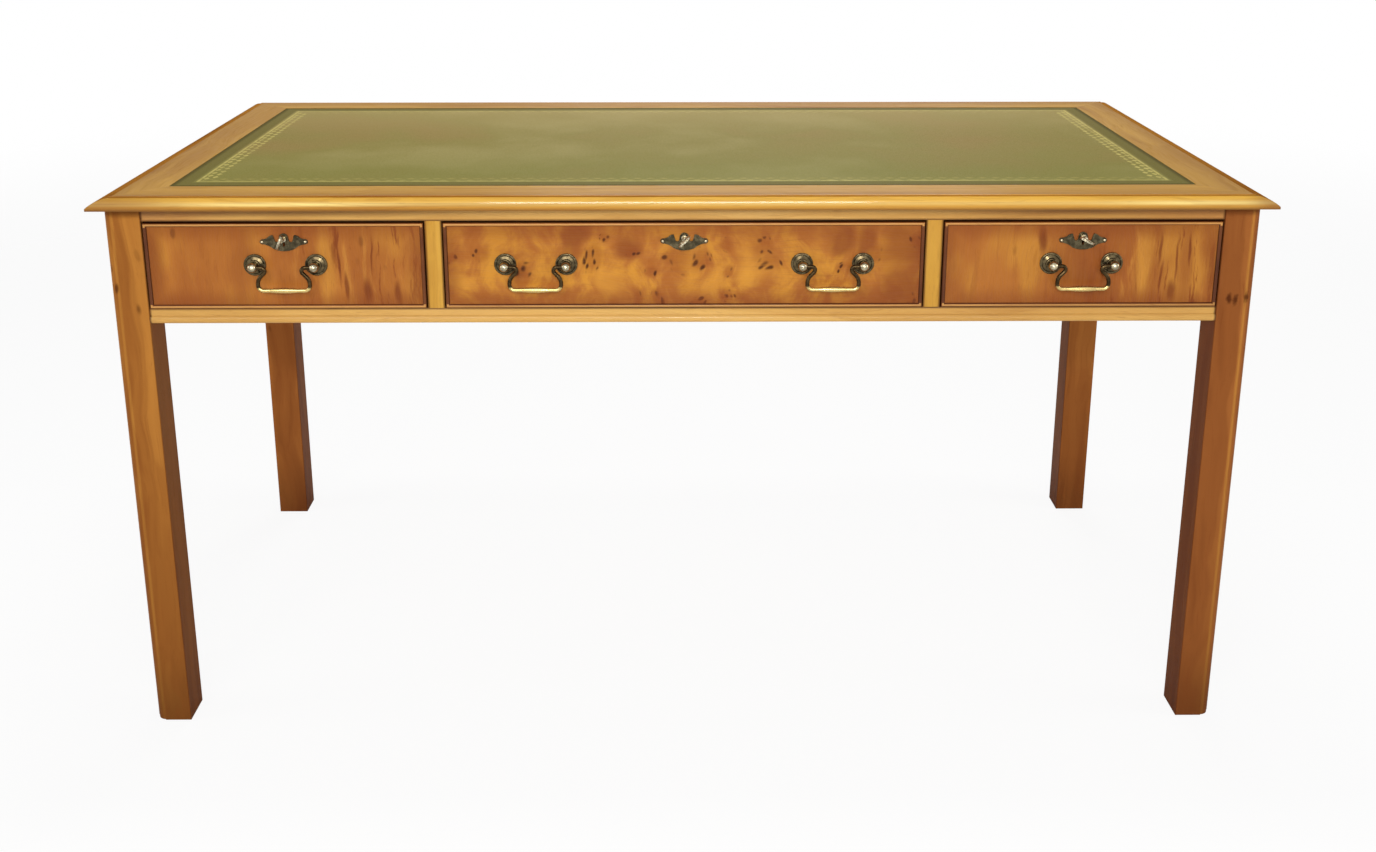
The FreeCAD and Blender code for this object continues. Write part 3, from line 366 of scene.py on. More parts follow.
# Soft patches with the share and colour of each kind.
BURR_PATCHES = (
    (BURR_GOLDS, 0.6, srgb(212, 148, 56)),
    (BURR_SHADES, 0.75, srgb(130, 64, 29)),
)
PATCH_CORE_SHARE = 0.3
TWIST_COUNT = 11.0
TWIST_REACH = (0.07, 0.0, 0.07)
SWIRL_COUNTS = (27.0, 20.0, 17.0)
SWIRL_DARK_SPAN = (0.5, 0.74)
SWIRL_GOLD_SPAN = (0.58, 0.36)
SWIRL_SHARE = 0.72
SWIRL_DARK = srgb(156, 84, 30)
SWIRL_GOLD = srgb(212, 148, 52)
CLUSTER_SPAN_SHARES = (0.35, 1.25)
CLUSTER_SHARE = 0.5
CLUSTER_DARK = srgb(142, 72, 28)
EYE_COUNTS = (125.0, 125.0, 95.0)
EYE_SPAN = (0.16, 0.44)
EYE_FIELD_SPAN = (0.1, 0.45)
EYE_SHARE = 0.9
EYE_DARK = srgb(60, 26, 10)


def burr(finish, vector, colour):
    """Swirls of light and dark, soft patches and clusters of dark pips, as burr veneer has."""
    x, _, z = finish.parts(vector)
    twisted = finish.shaken(finish.joined(x, 0.0, z), TWIST_COUNT, TWIST_REACH)
    swirl = finish.noise(finish.scaled(twisted, SWIRL_COUNTS), detail=5.0, roughness=0.62, distortion=0.2)
    colour = finish.mix(finish.rise(swirl, SWIRL_DARK_SPAN, SWIRL_SHARE), colour, SWIRL_DARK)
    colour = finish.mix(finish.rise(swirl, SWIRL_GOLD_SPAN, SWIRL_SHARE), colour, SWIRL_GOLD)
    for patches, share, tone in BURR_PATCHES:
        for across, up, radius in patches:
            off = finish.distance(twisted, (across, 0.0, up))
            patch = finish.fall(off, (radius * PATCH_CORE_SHARE, radius), share)
            colour = finish.mix(patch, colour, tone)
    near = 0.0
    for across, up, radius in BURR_CLUSTERS:
        off = finish.distance(twisted, (across, 0.0, up))
        cluster = finish.fall(off, [radius * share for share in CLUSTER_SPAN_SHARES])
        near = finish.math("MAXIMUM", near, cluster)
    eyes = finish.fall(finish.cells(finish.scaled(twisted, EYE_COUNTS)), EYE_SPAN)
    pip = finish.math("MULTIPLY", eyes, finish.rise(near, EYE_FIELD_SPAN))
    colour = finish.marked(colour, near, CLUSTER_SHARE, CLUSTER_DARK)
    return finish.marked(colour, pip, EYE_SHARE, EYE_DARK)


# Flame figure of the side drawers

# Soft streaks of the grain, red-brown and then gold: across, up, half width and half length.
LEFT_SHADES = (
    (-0.690, 0.674, 0.018, 0.070),
    (-0.574, 0.672, 0.024, 0.070),
)
LEFT_GOLDS = (
    (-0.464, 0.674, 0.014, 0.070),
)
RIGHT_SHADES = (
    (0.6560, 0.672, 0.014, 0.070),
    (0.6820, 0.696, 0.014, 0.036),
)
RIGHT_GOLDS = (
    (0.6000, 0.674, 0.014, 0.070),
)
# Dark strokes of the grain: across, up, half width and half length.
LEFT_STROKES = (
    (-0.448, 0.674, 0.0020, 0.034),
    (-0.406, 0.683, 0.0016, 0.026),
    (-0.441, 0.640, 0.0030, 0.018),
    (-0.414, 0.633, 0.0060, 0.018),
    (-0.374, 0.632, 0.0050, 0.018),
)
RIGHT_STROKES = (
    (0.6190, 0.690, 0.0024, 0.024),
    (0.6240, 0.652, 0.0020, 0.022),
    (0.6425, 0.676, 0.0018, 0.032),
    (0.6600, 0.690, 0.0022, 0.024),
    (0.6390, 0.632, 0.0060, 0.016),
    (0.4650, 0.702, 0.0060, 0.022),
)
LEFT_MIDDLE = -0.42
RIGHT_MIDDLE = 0.62
SWAY_COUNT = 14.0
SWAY_REACH = 0.016
FLAME_COUNT = 52.0
FLAME_RUN = 7.0
FLAME_REACH_SPAN = (0.03, 0.12)
FLAME_REACH_SHARES = (1.0, 0.22)
FLAME_DARK_SPAN = (0.53, 0.61)
FLAME_DARK_SHARE = 0.95
FLAME_DARK = srgb(126, 62, 26)
FLAME_GOLD_SPAN = (0.49, 0.3)
FLAME_GOLD_SHARE = 0.6
FLAME_GOLD = srgb(206, 142, 62)
MOTTLE_COUNT = 13.0
MOTTLE_LAYER = 1.0
MOTTLE_STRETCH = 0.5
MOTTLE_DARK_SPAN = (0.5, 0.68)
MOTTLE_DARK_SHARE = 0.6
MOTTLE_DARK = srgb(154, 86, 38)
MOTTLE_GOLD_SPAN = (0.5, 0.34)
MOTTLE_GOLD_SHARE = 0.7
MOTTLE_GOLD = srgb(198, 136, 54)
# Marks of a flame: how ragged, where they begin to fade in half sizes, share and colour.
SHADE_MARK = (0.8, 0.2, 0.6, srgb(140, 74, 33))
GOLD_MARK = (0.8, 0.2, 0.65, srgb(206, 144, 58))
STROKE_MARK = (1.6, 0.3, 0.8, srgb(112, 52, 21))
MARK_FADE = 1.0


def flame(middle, shades, golds, strokes):
    """Upright streaks of red-brown and gold, strongest about the place middle, with a few dark strokes."""
    def figure(finish, vector, colour):
        x, _, z = finish.parts(vector)
        sway = finish.noise(finish.joined(x, 0.0, z), scale=SWAY_COUNT, detail=2.0)
        across = finish.math("MULTIPLY_ADD", finish.centred(sway), SWAY_REACH, x)
        drawn = finish.joined(finish.math("MULTIPLY", across, FLAME_COUNT), 0.0,
                              finish.math("MULTIPLY", z, FLAME_RUN))
        streak = finish.noise(drawn, detail=5.0, roughness=0.7)
        strength = finish.between(finish.apart(x, middle), FLAME_REACH_SPAN, FLAME_REACH_SHARES)
        dark = finish.math("MULTIPLY", strength, finish.rise(streak, FLAME_DARK_SPAN, FLAME_DARK_SHARE))
        gold = finish.math("MULTIPLY", strength, finish.rise(streak, FLAME_GOLD_SPAN, FLAME_GOLD_SHARE))
        mottle = finish.joined(x, MOTTLE_LAYER, finish.math("MULTIPLY", z, MOTTLE_STRETCH))
        mottle = finish.noise(mottle, scale=MOTTLE_COUNT, detail=2.0)
        colour = finish.mix(finish.rise(mottle, MOTTLE_DARK_SPAN, MOTTLE_DARK_SHARE), colour, MOTTLE_DARK)
        colour = finish.mix(finish.rise(mottle, MOTTLE_GOLD_SPAN, MOTTLE_GOLD_SHARE), colour, MOTTLE_GOLD)
        colour = finish.mix(dark, colour, FLAME_DARK)
        colour = finish.mix(gold, colour, FLAME_GOLD)
        flat = finish.joined(across, 0.0, z)
        for places, mark in ((shades, SHADE_MARK), (golds, GOLD_MARK), (strokes, STROKE_MARK)):
            raggedness, core, share, tone = mark
            for place, up, half_width, half_length in places:
                stretched = finish.times(flat, (1 / half_width, 0.0, 1 / half_length))
                off = finish.distance(stretched, (place / half_width, 0.0, up / half_length))
                ragged = finish.math("MULTIPLY_ADD", finish.centred(streak), raggedness, off)
                colour = finish.mix(finish.fall(ragged, (core, core + MARK_FADE), share), colour, tone)
        return colour
    return figure


# Painted shade and highlights on the yew, and its polish

FRONT_EDGE_SPAN = (0.005, 0.032)
FRONT_EDGE_SHARE = 0.55
FRONT_EDGE_DARK = srgb(128, 64, 28)


def shaded_front(side, figure):
    """A drawer front's figure, darker towards the edges inside its beads."""
    low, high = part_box(f"{side}_drawer_front")

    def shaded(finish, vector, colour):
        colour = figure(finish, vector, colour)
        x, _, z = finish.parts(vector)
        gaps = (finish.math("SUBTRACT", x, low[0]), finish.math("SUBTRACT", high[0], x),
                finish.math("SUBTRACT", z, low[2]), finish.math("SUBTRACT", high[2], z))
        inset = gaps[0]
        for gap in gaps[1:]:
            inset = finish.math("MINIMUM", inset, gap)
        return finish.mix(finish.fall(inset, FRONT_EDGE_SPAN, FRONT_EDGE_SHARE), colour, FRONT_EDGE_DARK)
    return shaded


# Painted shade on the frame beside the drawer gaps: span, share and colour.
GAP_SHADE_SPAN = (0.0003, 0.0034)
GAP_SHADE_SHARE = 0.85
GAP_SHADE = srgb(70, 34, 12)


def gap_shade(*edges):
    """Painted shade along edges of the drawer openings, each an axis and a place on it."""
    def figure(finish, vector, colour):
        place_on = dict(zip("XYZ", finish.parts(vector)))
        for axis, place in edges:
            off = finish.apart(place_on[axis], place)
            colour = finish.mix(finish.fall(off, GAP_SHADE_SPAN, GAP_SHADE_SHARE), colour, GAP_SHADE)
        return colour
    return figure


# How far in from a drawer's edge its level beads reach, and how far behind the crests the painted shade and
# highlight come or go.
LEVEL_BEAD_SPAN = (0.005, 0.006)
BEAD_CORNER_SHADE_SPAN = (0.0004, 0.0016)
BEAD_HIGHLIGHT_SPAN = (0.00012, 0.00045)
BEAD_CORNER_SHADE_SHARE = 0.85
BEAD_UPRIGHT_SHADE_SHARE = 0.6
BEAD_HIGHLIGHT_SHARE = 0.62
BEAD_CORNER_SHADE = srgb(46, 20, 8)
BEAD_UPRIGHT_SHADE = srgb(66, 32, 14)
BEAD_HIGHLIGHT = srgb(226, 170, 92)


def bead_shade(finish, vector, colour):
    """Painted shade in the corners of cock beads and on the upright ones, and a painted highlight on the
    crests of the level ones.
    """
    low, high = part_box("centre_drawer_beads")
    _, y, z = finish.parts(vector)
    depth = finish.math("SUBTRACT", y, low[1])
    colour = finish.mix(finish.rise(depth, BEAD_CORNER_SHADE_SPAN, BEAD_CORNER_SHADE_SHARE), colour, BEAD_CORNER_SHADE)
    from_bottom = finish.math("SUBTRACT", z, low[2])
    from_top = finish.math("SUBTRACT", high[2], z)
    upright = finish.rise(finish.math("MINIMUM", from_bottom, from_top), LEVEL_BEAD_SPAN)
    colour = finish.marked(colour, upright, BEAD_UPRIGHT_SHADE_SHARE, BEAD_UPRIGHT_SHADE)
    level = finish.fall(upright, WHOLE_SPAN, BEAD_HIGHLIGHT_SHARE)
    highlight = finish.math("MULTIPLY", level, finish.fall(depth, BEAD_HIGHLIGHT_SPAN))
    return finish.mix(highlight, colour, BEAD_HIGHLIGHT)


# Painted shadow under the top's overhang: depths below its underside, reach across the table, shares and
# colour.
UNDER_TOP_DEPTHS = (0.0150, 0.0075)
UNDER_TOP_ACROSS_SPAN = (0.15, 0.55)
UNDER_TOP_SHADOW_SHARES = (0.15, 0.6)
UNDER_TOP_SHADOW = srgb(92, 50, 22)


def under_top(finish, x, z, colour):
    """Painted shadow under the overhang of the top, less of it at the middle."""
    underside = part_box("upper_front_rail")[1][2]
    share = finish.between(finish.math("ABSOLUTE", x), UNDER_TOP_ACROSS_SPAN, UNDER_TOP_SHADOW_SHARES)
    shade = finish.rise(z, below(underside, UNDER_TOP_DEPTHS))
    return finish.marked(colour, shade, share, UNDER_TOP_SHADOW)


RAIL_RED_SPAN = (0.0, 0.16)
RAIL_RED_SHARE = 0.6
RAIL_RED = srgb(170, 104, 54)


def rail_shade(finish, vector, colour):
    """Painted shade along the drawer openings and beside the legs, painted shadow under the top, and redder
    wood towards the legs.
    """
    x, _, z = finish.parts(vector)
    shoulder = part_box("leg_front_right")[0][0]
    opening_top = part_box("upper_front_rail")[0][2]
    opening_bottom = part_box("lower_front_rail")[1][2]
    from_leg = finish.math("SUBTRACT", shoulder, finish.math("ABSOLUTE", x))
    redder = finish.math("MULTIPLY", finish.fall(from_leg, RAIL_RED_SPAN, RAIL_RED_SHARE),
                         finish.math("GREATER_THAN", z, opening_bottom))
    colour = finish.mix(redder, colour, RAIL_RED)
    colour = under_top(finish, x, z, colour)
    edges = gap_shade(("Z", opening_top), ("Z", opening_bottom), ("X", shoulder), ("X", -shoulder))
    return edges(finish, vector, colour)


# Dark knots on the front right leg, and how they are stretched.
LEG_KNOTS = (
    (0.716, -0.361, 0.622),
    (0.724, -0.361, 0.6205),
    (0.739, -0.361, 0.624),
)
KNOT_STRETCH = (1.0, 0.5, 0.55)
KNOT_RAGGED_COUNT = 160.0
KNOT_RAGGED_REACH = 0.006
KNOT_SPAN = (0.004, 0.0085)
KNOT_SHARE = 0.85
KNOT_DARK = srgb(62, 26, 12)
# The painted highlight beside a leg's ovolo, from the leg's outer faces.
LEG_HIGHLIGHT_SPAN = (0.0103, 0.0147)
LEG_HIGHLIGHT_SOFT = 0.0014
LEG_HIGHLIGHT_NEAR_SPAN = (0.0125, 0.0145)
LEG_HIGHLIGHT_SHARE = 0.4
LEG_HIGHLIGHT = srgb(214, 152, 68)
# Painted shade down a leg, at its foot and on its inner face: span, share and colour.
LEG_DOWN_SHADE_SPAN = (0.0, 0.6)
LEG_DOWN_SHADE_SHARE = 0.36
LEG_DOWN_SHADE = srgb(96, 46, 22)
FOOT_SHADE_SPAN = (0.0, 0.13)
FOOT_SHADE_SHARE = 0.45
FOOT_SHADE = srgb(70, 34, 18)
INNER_FACE_SHADE_SPAN = (0.0004, 0.0016)
INNER_FACE_SHADE_SHARE = 0.62
INNER_FACE_SHADE = srgb(84, 40, 18)


def leg_shade_and_knots(leg, knots):
    """A leg with painted shade towards the foot and on its inner face, a painted highlight beside its ovolo,
    painted shadow under the top, and dark knots.
    """
    low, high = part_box(leg)
    right = low[0] > 0.0
    outer, inner = (high[0], low[0]) if right else (low[0], high[0])
    face = high[1] if low[1] > 0.0 else low[1]

    def figure(finish, vector, colour):
        x, y, z = finish.parts(vector)
        from_outer = finish.apart(x, outer)
        from_face = finish.apart(y, face)
        # A painted highlight beside the ovolo, on both outer faces.
        streak = 0.0
        for off, beside in ((from_outer, from_face), (from_face, from_outer)):
            line = finish.band(off, LEG_HIGHLIGHT_SPAN, LEG_HIGHLIGHT_SOFT)
            near = finish.fall(beside, LEG_HIGHLIGHT_NEAR_SPAN)
            streak = finish.math("MAXIMUM", streak, finish.math("MULTIPLY", line, near))
        colour = finish.marked(colour, streak, LEG_HIGHLIGHT_SHARE, LEG_HIGHLIGHT)
        # Painted shade down the leg, at its foot and on its inner face.
        colour = finish.mix(finish.fall(z, LEG_DOWN_SHADE_SPAN, LEG_DOWN_SHADE_SHARE), colour, LEG_DOWN_SHADE)
        colour = finish.mix(finish.fall(z, FOOT_SHADE_SPAN, FOOT_SHADE_SHARE), colour, FOOT_SHADE)
        inside = finish.fall(finish.apart(x, inner), INNER_FACE_SHADE_SPAN, INNER_FACE_SHADE_SHARE)
        colour = finish.mix(inside, colour, INNER_FACE_SHADE)
        colour = under_top(finish, x, z, colour)
        for place in knots:
            middle = [along * stretch for along, stretch in zip(place, KNOT_STRETCH)]
            off = finish.distance(finish.times(vector, KNOT_STRETCH), middle)
            rough = finish.noise(vector, scale=KNOT_RAGGED_COUNT, detail=2.0)
            ragged = finish.math("MULTIPLY_ADD", rough, KNOT_RAGGED_REACH, off)
            colour = finish.mix(finish.fall(ragged, KNOT_SPAN, KNOT_SHARE), colour, KNOT_DARK)
        return colour
    return figure


# Marks on the top's moulding, as depths below the top, the deeper first: painted shade in the quirk and on
# the nose, painted light on the upper round, a painted highlight on the crest, and clear polish.
QUIRK_DEPTHS = (0.0016, 0.0002)
UPPER_ROUND_DEPTHS = (0.0056, 0.0017)
CREST_DEPTHS = (0.0086, 0.0052)
NOSE_DEPTHS = (0.0142, 0.0096)
POLISH_DEPTHS = (0.0050, 0.0020)
QUIRK_SOFT = 0.0002
UPPER_ROUND_SOFT = 0.0002
CREST_SOFT = 0.0016
# Shares of the marks and of the polish, and colours of the painted shade, light and highlight.
QUIRK_SHADE_SHARE = 0.5
UPPER_ROUND_LIGHT_SHARE = 0.7
NOSE_SHADE_SHARE = 0.7
LONG_POLISH_SHARE = 0.5
QUIRK_SHADE = srgb(124, 76, 28)
UPPER_ROUND_LIGHT = srgb(240, 188, 80)
CREST_HIGHLIGHT = srgb(255, 226, 138)
NOSE_SHADE = srgb(104, 62, 26)
# Where the painted highlight on the long mouldings is strongest: place along the table, reach and share.
HIGHLIGHT_PLACES = (
    (-0.510, 0.200, 1.00),
    (0.670, 0.180, 0.95),
)
HIGHLIGHT_SHARE = 0.36
END_HIGHLIGHT_SHARE = 0.1
# Darker tips of the long mouldings.
LEFT_TIP_SPAN = (-0.60, -0.75)
LEFT_TIP_SHARE = 0.5
RIGHT_TIP_SPAN = (0.715, 0.757)
RIGHT_TIP_SHARE = 0.6
TIP_DARK = srgb(136, 84, 34)


def edge_shade(long_side):
    """Painted shade in the quirk and on the nose of the top's moulding, painted light on the upper round of a
    long one, and a painted highlight on its crest.
    """
    def figure(finish, vector, colour):
        x, _, z = finish.parts(vector)
        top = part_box("top_moulding_front")[1][2]
        highlight_strength = END_HIGHLIGHT_SHARE
        if long_side:
            highlight_strength = HIGHLIGHT_SHARE
            for place, reach, share in HIGHLIGHT_PLACES:
                brightened = finish.between(finish.apart(x, place), (0.0, reach), (share, HIGHLIGHT_SHARE))
                highlight_strength = finish.math("MAXIMUM", highlight_strength, brightened)
            # Painted light on the upper round of a long moulding.
            upper_round = finish.band(z, below(top, UPPER_ROUND_DEPTHS), UPPER_ROUND_SOFT)
            colour = finish.marked(colour, upper_round, UPPER_ROUND_LIGHT_SHARE, UPPER_ROUND_LIGHT)
        # A painted highlight along the crest.
        highlight = finish.band(z, below(top, CREST_DEPTHS), CREST_SOFT)
        colour = finish.marked(colour, highlight, highlight_strength, CREST_HIGHLIGHT)
        if long_side:
            left_tip = finish.rise(x, LEFT_TIP_SPAN, LEFT_TIP_SHARE)
            right_tip = finish.rise(x, RIGHT_TIP_SPAN, RIGHT_TIP_SHARE)
            colour = finish.mix(finish.math("MAXIMUM", left_tip, right_tip), colour, TIP_DARK)
        # Painted shade in the quirk, and on the nose below.
        quirk = finish.band(z, below(top, QUIRK_DEPTHS), QUIRK_SOFT)
        colour = finish.marked(colour, quirk, QUIRK_SHADE_SHARE, QUIRK_SHADE)
        return finish.mix(finish.fall(z, below(top, NOSE_DEPTHS), NOSE_SHADE_SHARE), colour, NOSE_SHADE)
    return figure


def edge_polish(finish, vector):
    """Clear polish on the round of a long moulding, but not on the flat lip above it."""
    _, _, z = finish.parts(vector)
    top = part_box("top_moulding_front")[1][2]
    return finish.fall(z, below(top, POLISH_DEPTHS), LONG_POLISH_SHARE)


def from_edges(finish, node, x, y):
    """How far in a point is from the ends and from the long sides of a node of the top."""
    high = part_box(node)[1]
    from_end = finish.math("SUBTRACT", high[0], finish.math("ABSOLUTE", x))
    from_side = finish.math("SUBTRACT", high[1], finish.math("ABSOLUTE", y))
    return from_end, from_side


END_BAND_LAYER = 1.0
BORDER_EDGE_SPAN = (0.0, 0.040)
BORDER_EDGE_SHARE = 0.26
BORDER_EDGE_DARK = srgb(120, 70, 30)


def border():
    """Yew veneer with its grain along each band, so that it turns at the mitres, darker at its outer edge."""
    finish = Finish("border_yew")
    x, y, z = finish.parts(finish.place())
    from_end, from_side = from_edges(finish, "crossbanding", x, y)
    at_end = finish.math("LESS_THAN", from_end, from_side)
    forward = finish.joined(x, y, z)
    turned = finish.joined(y, x, finish.math("ADD", z, END_BAND_LAYER))
    vector = finish.mix(at_end, forward, turned, "VECTOR")
    inset = finish.math("MINIMUM", from_end, from_side)

    def outer_edge(finish, vector, colour):
        return finish.mix(finish.fall(inset, BORDER_EDGE_SPAN, BORDER_EDGE_SHARE), colour, BORDER_EDGE_DARK)

    return yew("border_yew", "X", BORDER_TONES, streaks=26.0, rings=7.0, ring_share=0.16, vector=vector,
               finish=finish, gloss=0.34, coat=0.0, specular=0.01, figure=outer_edge)


OAK_RUN = 1.4
OAK_COUNT = 16.0
OAK_TONE_SPAN = (0.3, 0.72)
OAK_MIDDLE_STOP = 0.5
PORE_RUN = 26.0
PORE_COUNT = 900.0
PORE_SPAN = (0.56, 0.72)
PORE_SHARE = 0.5
PORE_DARK = srgb(120, 86, 50)
PORE_RELIEF = 0.25
OAK_GLOSS_SPAN = (0.3, 0.8)
OAK_ROUGHNESS = (0.5, 0.66)


def oak(name, grain, shift=(0, 0, 0)):
    """Plain waxed oak of the drawer linings and runners, with open pores."""
    finish = Finish(name)
    vector = finish.place()
    broad = along_grain(finish, vector, grain, OAK_RUN, OAK_COUNT, shift)
    broad = finish.noise(broad, detail=4.0, distortion=0.3)
    pores = along_grain(finish, vector, grain, PORE_RUN, PORE_COUNT, shift)
    pores = finish.noise(pores, detail=2.0, roughness=0.7)
    light, middle, dark = OAK_TONES
    tone = finish.between(broad, OAK_TONE_SPAN, smooth=False)
    colour = finish.ramp(tone, ((0.0, light), (OAK_MIDDLE_STOP, middle), (1.0, dark)))
    colour = finish.mix(finish.rise(pores, PORE_SPAN, PORE_SHARE), colour, PORE_DARK)
    finish.surface(
        Base_Color=colour,
        Roughness=finish.between(pores, OAK_GLOSS_SPAN, OAK_ROUGHNESS),
        Normal=finish.relief(pores, PORE_RELIEF, GRAIN_DEPTH, GRAIN_EDGE),
    )
    return finish.material


# Leather

GILT = srgb(196, 180, 98)
HIDE = srgb(146, 134, 74)
HIDE_BROWN = srgb(152, 131, 76)
HIDE_PALE = srgb(160, 147, 90)
HIDE_BACK = srgb(172, 153, 98)
HIDE_EDGE = srgb(76, 66, 28)
HIDE_MARGIN = srgb(110, 101, 50)
HIDE_GREEN = srgb(124, 124, 60)
HIDE_SCALE = ((0.34, HIDE_BROWN), (0.5, HIDE), (0.66, HIDE_PALE))
HIDE_CLOUD_COUNT = 4.2
HIDE_ROUGHNESS = (0.5, 0.64)
HIDE_SPECULAR = 0.01
PEBBLE_COUNT = 620.0
PEBBLE_SPAN = (0.25, 0.6)
PEBBLE_SHARE = 0.16
PEBBLE_GLOSS_SPAN = (0.1, 0.7)
PEBBLE_RELIEF = 0.25
PEBBLE_DEPTH = 0.0004
# Paler to the back and greener to the front, along the table's depth.
BACK_SPAN = (0.0, 0.30)
BACK_SHARE = 0.6
FRONT_SPAN = (0.0, -0.25)
FRONT_SHARE = 0.5
# Darker margin and rim, and the gilt tooling, in from the leather's edge.
MARGIN_SPAN = (0.021, 0.028)
MARGIN_SHARE = 0.85
RIM_SPAN = (0.003, 0.010)
RIM_SHARE = 0.75
LINE_SPAN = (0.0272, 0.0308)
LINE_SOFT = 0.0006
CHECK_ROWS = (0.0350, 0.0445)
CHECK_HALF = 0.0050
CHECK_PITCH = 0.0180
CHECK_SLANT = 1.1
CHECK_SPAN = (0.78, 0.92)
# Strength of the gilt along the long sides and at the ends.
LINE_SHARES = (0.6, 0.8)
CHECK_SHARES = (0.24, 0.8)
GILT_WEAR_COUNT = 90.0
GILT_WEAR_SPAN = (0.3, 0.56)
GILT_WEAR_SHARES = (0.25, 0.9)
GILT_PRESSED_SHARE = 0.6
GILT_METAL_SHARE = 0.4


def leather():
    """Green hide with a fine grain, a gilt line near its edge and a band of gilt checks inside it."""
    finish = Finish("green_hide")
    vector = finish.place()
    x, y, _ = finish.parts(vector)
    from_end, from_side = from_edges(finish, "leather_inset", x, y)
    inset = finish.math("MINIMUM", from_end, from_side)
    at_end = finish.math("LESS_THAN", from_end, from_side)
    run = finish.math("ADD", finish.math("MULTIPLY", at_end, y),
                      finish.math("MULTIPLY", finish.math("SUBTRACT", 1.0, at_end), x))
    cloud = finish.noise(vector, scale=HIDE_CLOUD_COUNT, detail=3.0, roughness=0.5)
    pebble = finish.cells(vector, PEBBLE_COUNT, feature="SMOOTH_F1")
    colour = finish.ramp(cloud, HIDE_SCALE)
    colour = finish.mix(finish.rise(pebble, PEBBLE_SPAN, PEBBLE_SHARE), colour, HIDE_EDGE)
    colour = finish.mix(finish.rise(y, BACK_SPAN, BACK_SHARE), colour, HIDE_BACK)
    colour = finish.mix(finish.rise(y, FRONT_SPAN, FRONT_SHARE), colour, HIDE_GREEN)
    colour = finish.mix(finish.fall(inset, MARGIN_SPAN, MARGIN_SHARE), colour, HIDE_MARGIN)
    colour = finish.mix(finish.fall(inset, RIM_SPAN, RIM_SHARE), colour, HIDE_EDGE)

    line = finish.band(inset, LINE_SPAN, LINE_SOFT)
    gilt = finish.math("MULTIPLY", line, finish.between(at_end, WHOLE_SPAN, LINE_SHARES))
    check_share = finish.between(at_end, WHOLE_SPAN, CHECK_SHARES)
    step = finish.math("MULTIPLY", finish.math("PINGPONG", run, CHECK_PITCH / 2), 2 / CHECK_PITCH)
    for row, place in enumerate(CHECK_ROWS):
        across = finish.math("DIVIDE", finish.apart(inset, place), CHECK_HALF)
        along = step if row == 0 else finish.math("SUBTRACT", 1.0, step)
        diamond = finish.math("ADD", across, finish.math("MULTIPLY", along, CHECK_SLANT))
        check = finish.math("MULTIPLY", check_share, finish.fall(diamond, CHECK_SPAN))
        gilt = finish.math("MAXIMUM", gilt, check)
    highlight_strength = finish.noise(vector, scale=GILT_WEAR_COUNT, detail=3.0, roughness=0.6)
    gilt = finish.math("MULTIPLY", gilt, finish.between(highlight_strength, GILT_WEAR_SPAN, GILT_WEAR_SHARES))
    colour = finish.mix(gilt, colour, GILT)
    height = finish.math("SUBTRACT", pebble, finish.math("MULTIPLY", gilt, GILT_PRESSED_SHARE))
    finish.surface(
        Base_Color=colour,
        Metallic=finish.math("MULTIPLY", gilt, GILT_METAL_SHARE),
        Roughness=finish.between(pebble, PEBBLE_GLOSS_SPAN, HIDE_ROUGHNESS),
        Normal=finish.relief(height, PEBBLE_RELIEF, PEBBLE_DEPTH),
        Specular_IOR_Level=HIDE_SPECULAR,
    )
    return finish.material


# Metal

METAL_EDGE = 0.0003
PATINA_COUNT = 160.0
PATINA_SPAN = (0.35, 0.7)
PATINA_SHARES = (0.35, 1.0)
PATINA_GLOSS_SPAN = (0.3, 0.75)
BRASS_ROUGHNESS = (0.2, 0.32)
HOLLOW_REACH = 0.005
HOLLOW_SPAN = (0.35, 0.95)
BRASS_SCRATCH_COUNTS = (300.0, 900.0, 2400.0)
BRASS_RELIEF = 0.02
BRASS_DEPTH = 0.0001


def aged_brass(name, bright, dull, brightened=None, bright_colour=None):
    """Brass with dark patina in its hollows. The optional mask makes it bright in the optional colour: on a
    bail, the grip that hands keep bright; on an escutcheon, a painted highlight on its pins' heads.
    """
    finish = Finish(name)
    vector = finish.place()
    patches = finish.noise(vector, scale=PATINA_COUNT, detail=5.0, roughness=0.6)
    hollow = finish.add("ShaderNodeAmbientOcclusion", {"samples": SHADING_SAMPLES}, Distance=HOLLOW_REACH)
    shine = finish.between(patches, PATINA_SPAN, PATINA_SHARES)
    shine = finish.math("MULTIPLY", shine, finish.rise(hollow.outputs["AO"], HOLLOW_SPAN))
    colour = finish.mix(shine, dull, bright)
    if brightened:
        colour = finish.mix(brightened(finish, vector), colour, bright_colour)
    scratches = finish.noise(finish.scaled(vector, BRASS_SCRATCH_COUNTS), detail=2.0)
    finish.surface(
        Base_Color=colour,
        Metallic=1.0,
        Roughness=finish.between(patches, PATINA_GLOSS_SPAN, BRASS_ROUGHNESS),
        Normal=finish.relief(scratches, BRASS_RELIEF, BRASS_DEPTH, METAL_EDGE),
    )
    return finish.material


# Above a bail's lowest edge, and behind the front of an escutcheon's pins.
GRIP_HIGH = 0.009
GRIP_FULL = 0.006
PIN_BACK = 0.0021
PIN_FULL = 0.0018


def polished_grip(finish, vector):
    """The grip of a bail, near its lowest edge, which fingers keep bright."""
    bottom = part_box("left_bail")[0][2]
    _, _, z = finish.parts(vector)
    return finish.rise(z, (bottom + GRIP_HIGH, bottom + GRIP_FULL))


def pin_heads(finish, vector):
    """The domed heads of an escutcheon's pins, which stand in front of its plate, where a painted highlight
    goes.
    """
    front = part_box("left_escutcheon")[0][1]
    _, y, _ = finish.parts(vector)
    return finish.rise(y, (front + PIN_BACK, front + PIN_FULL))


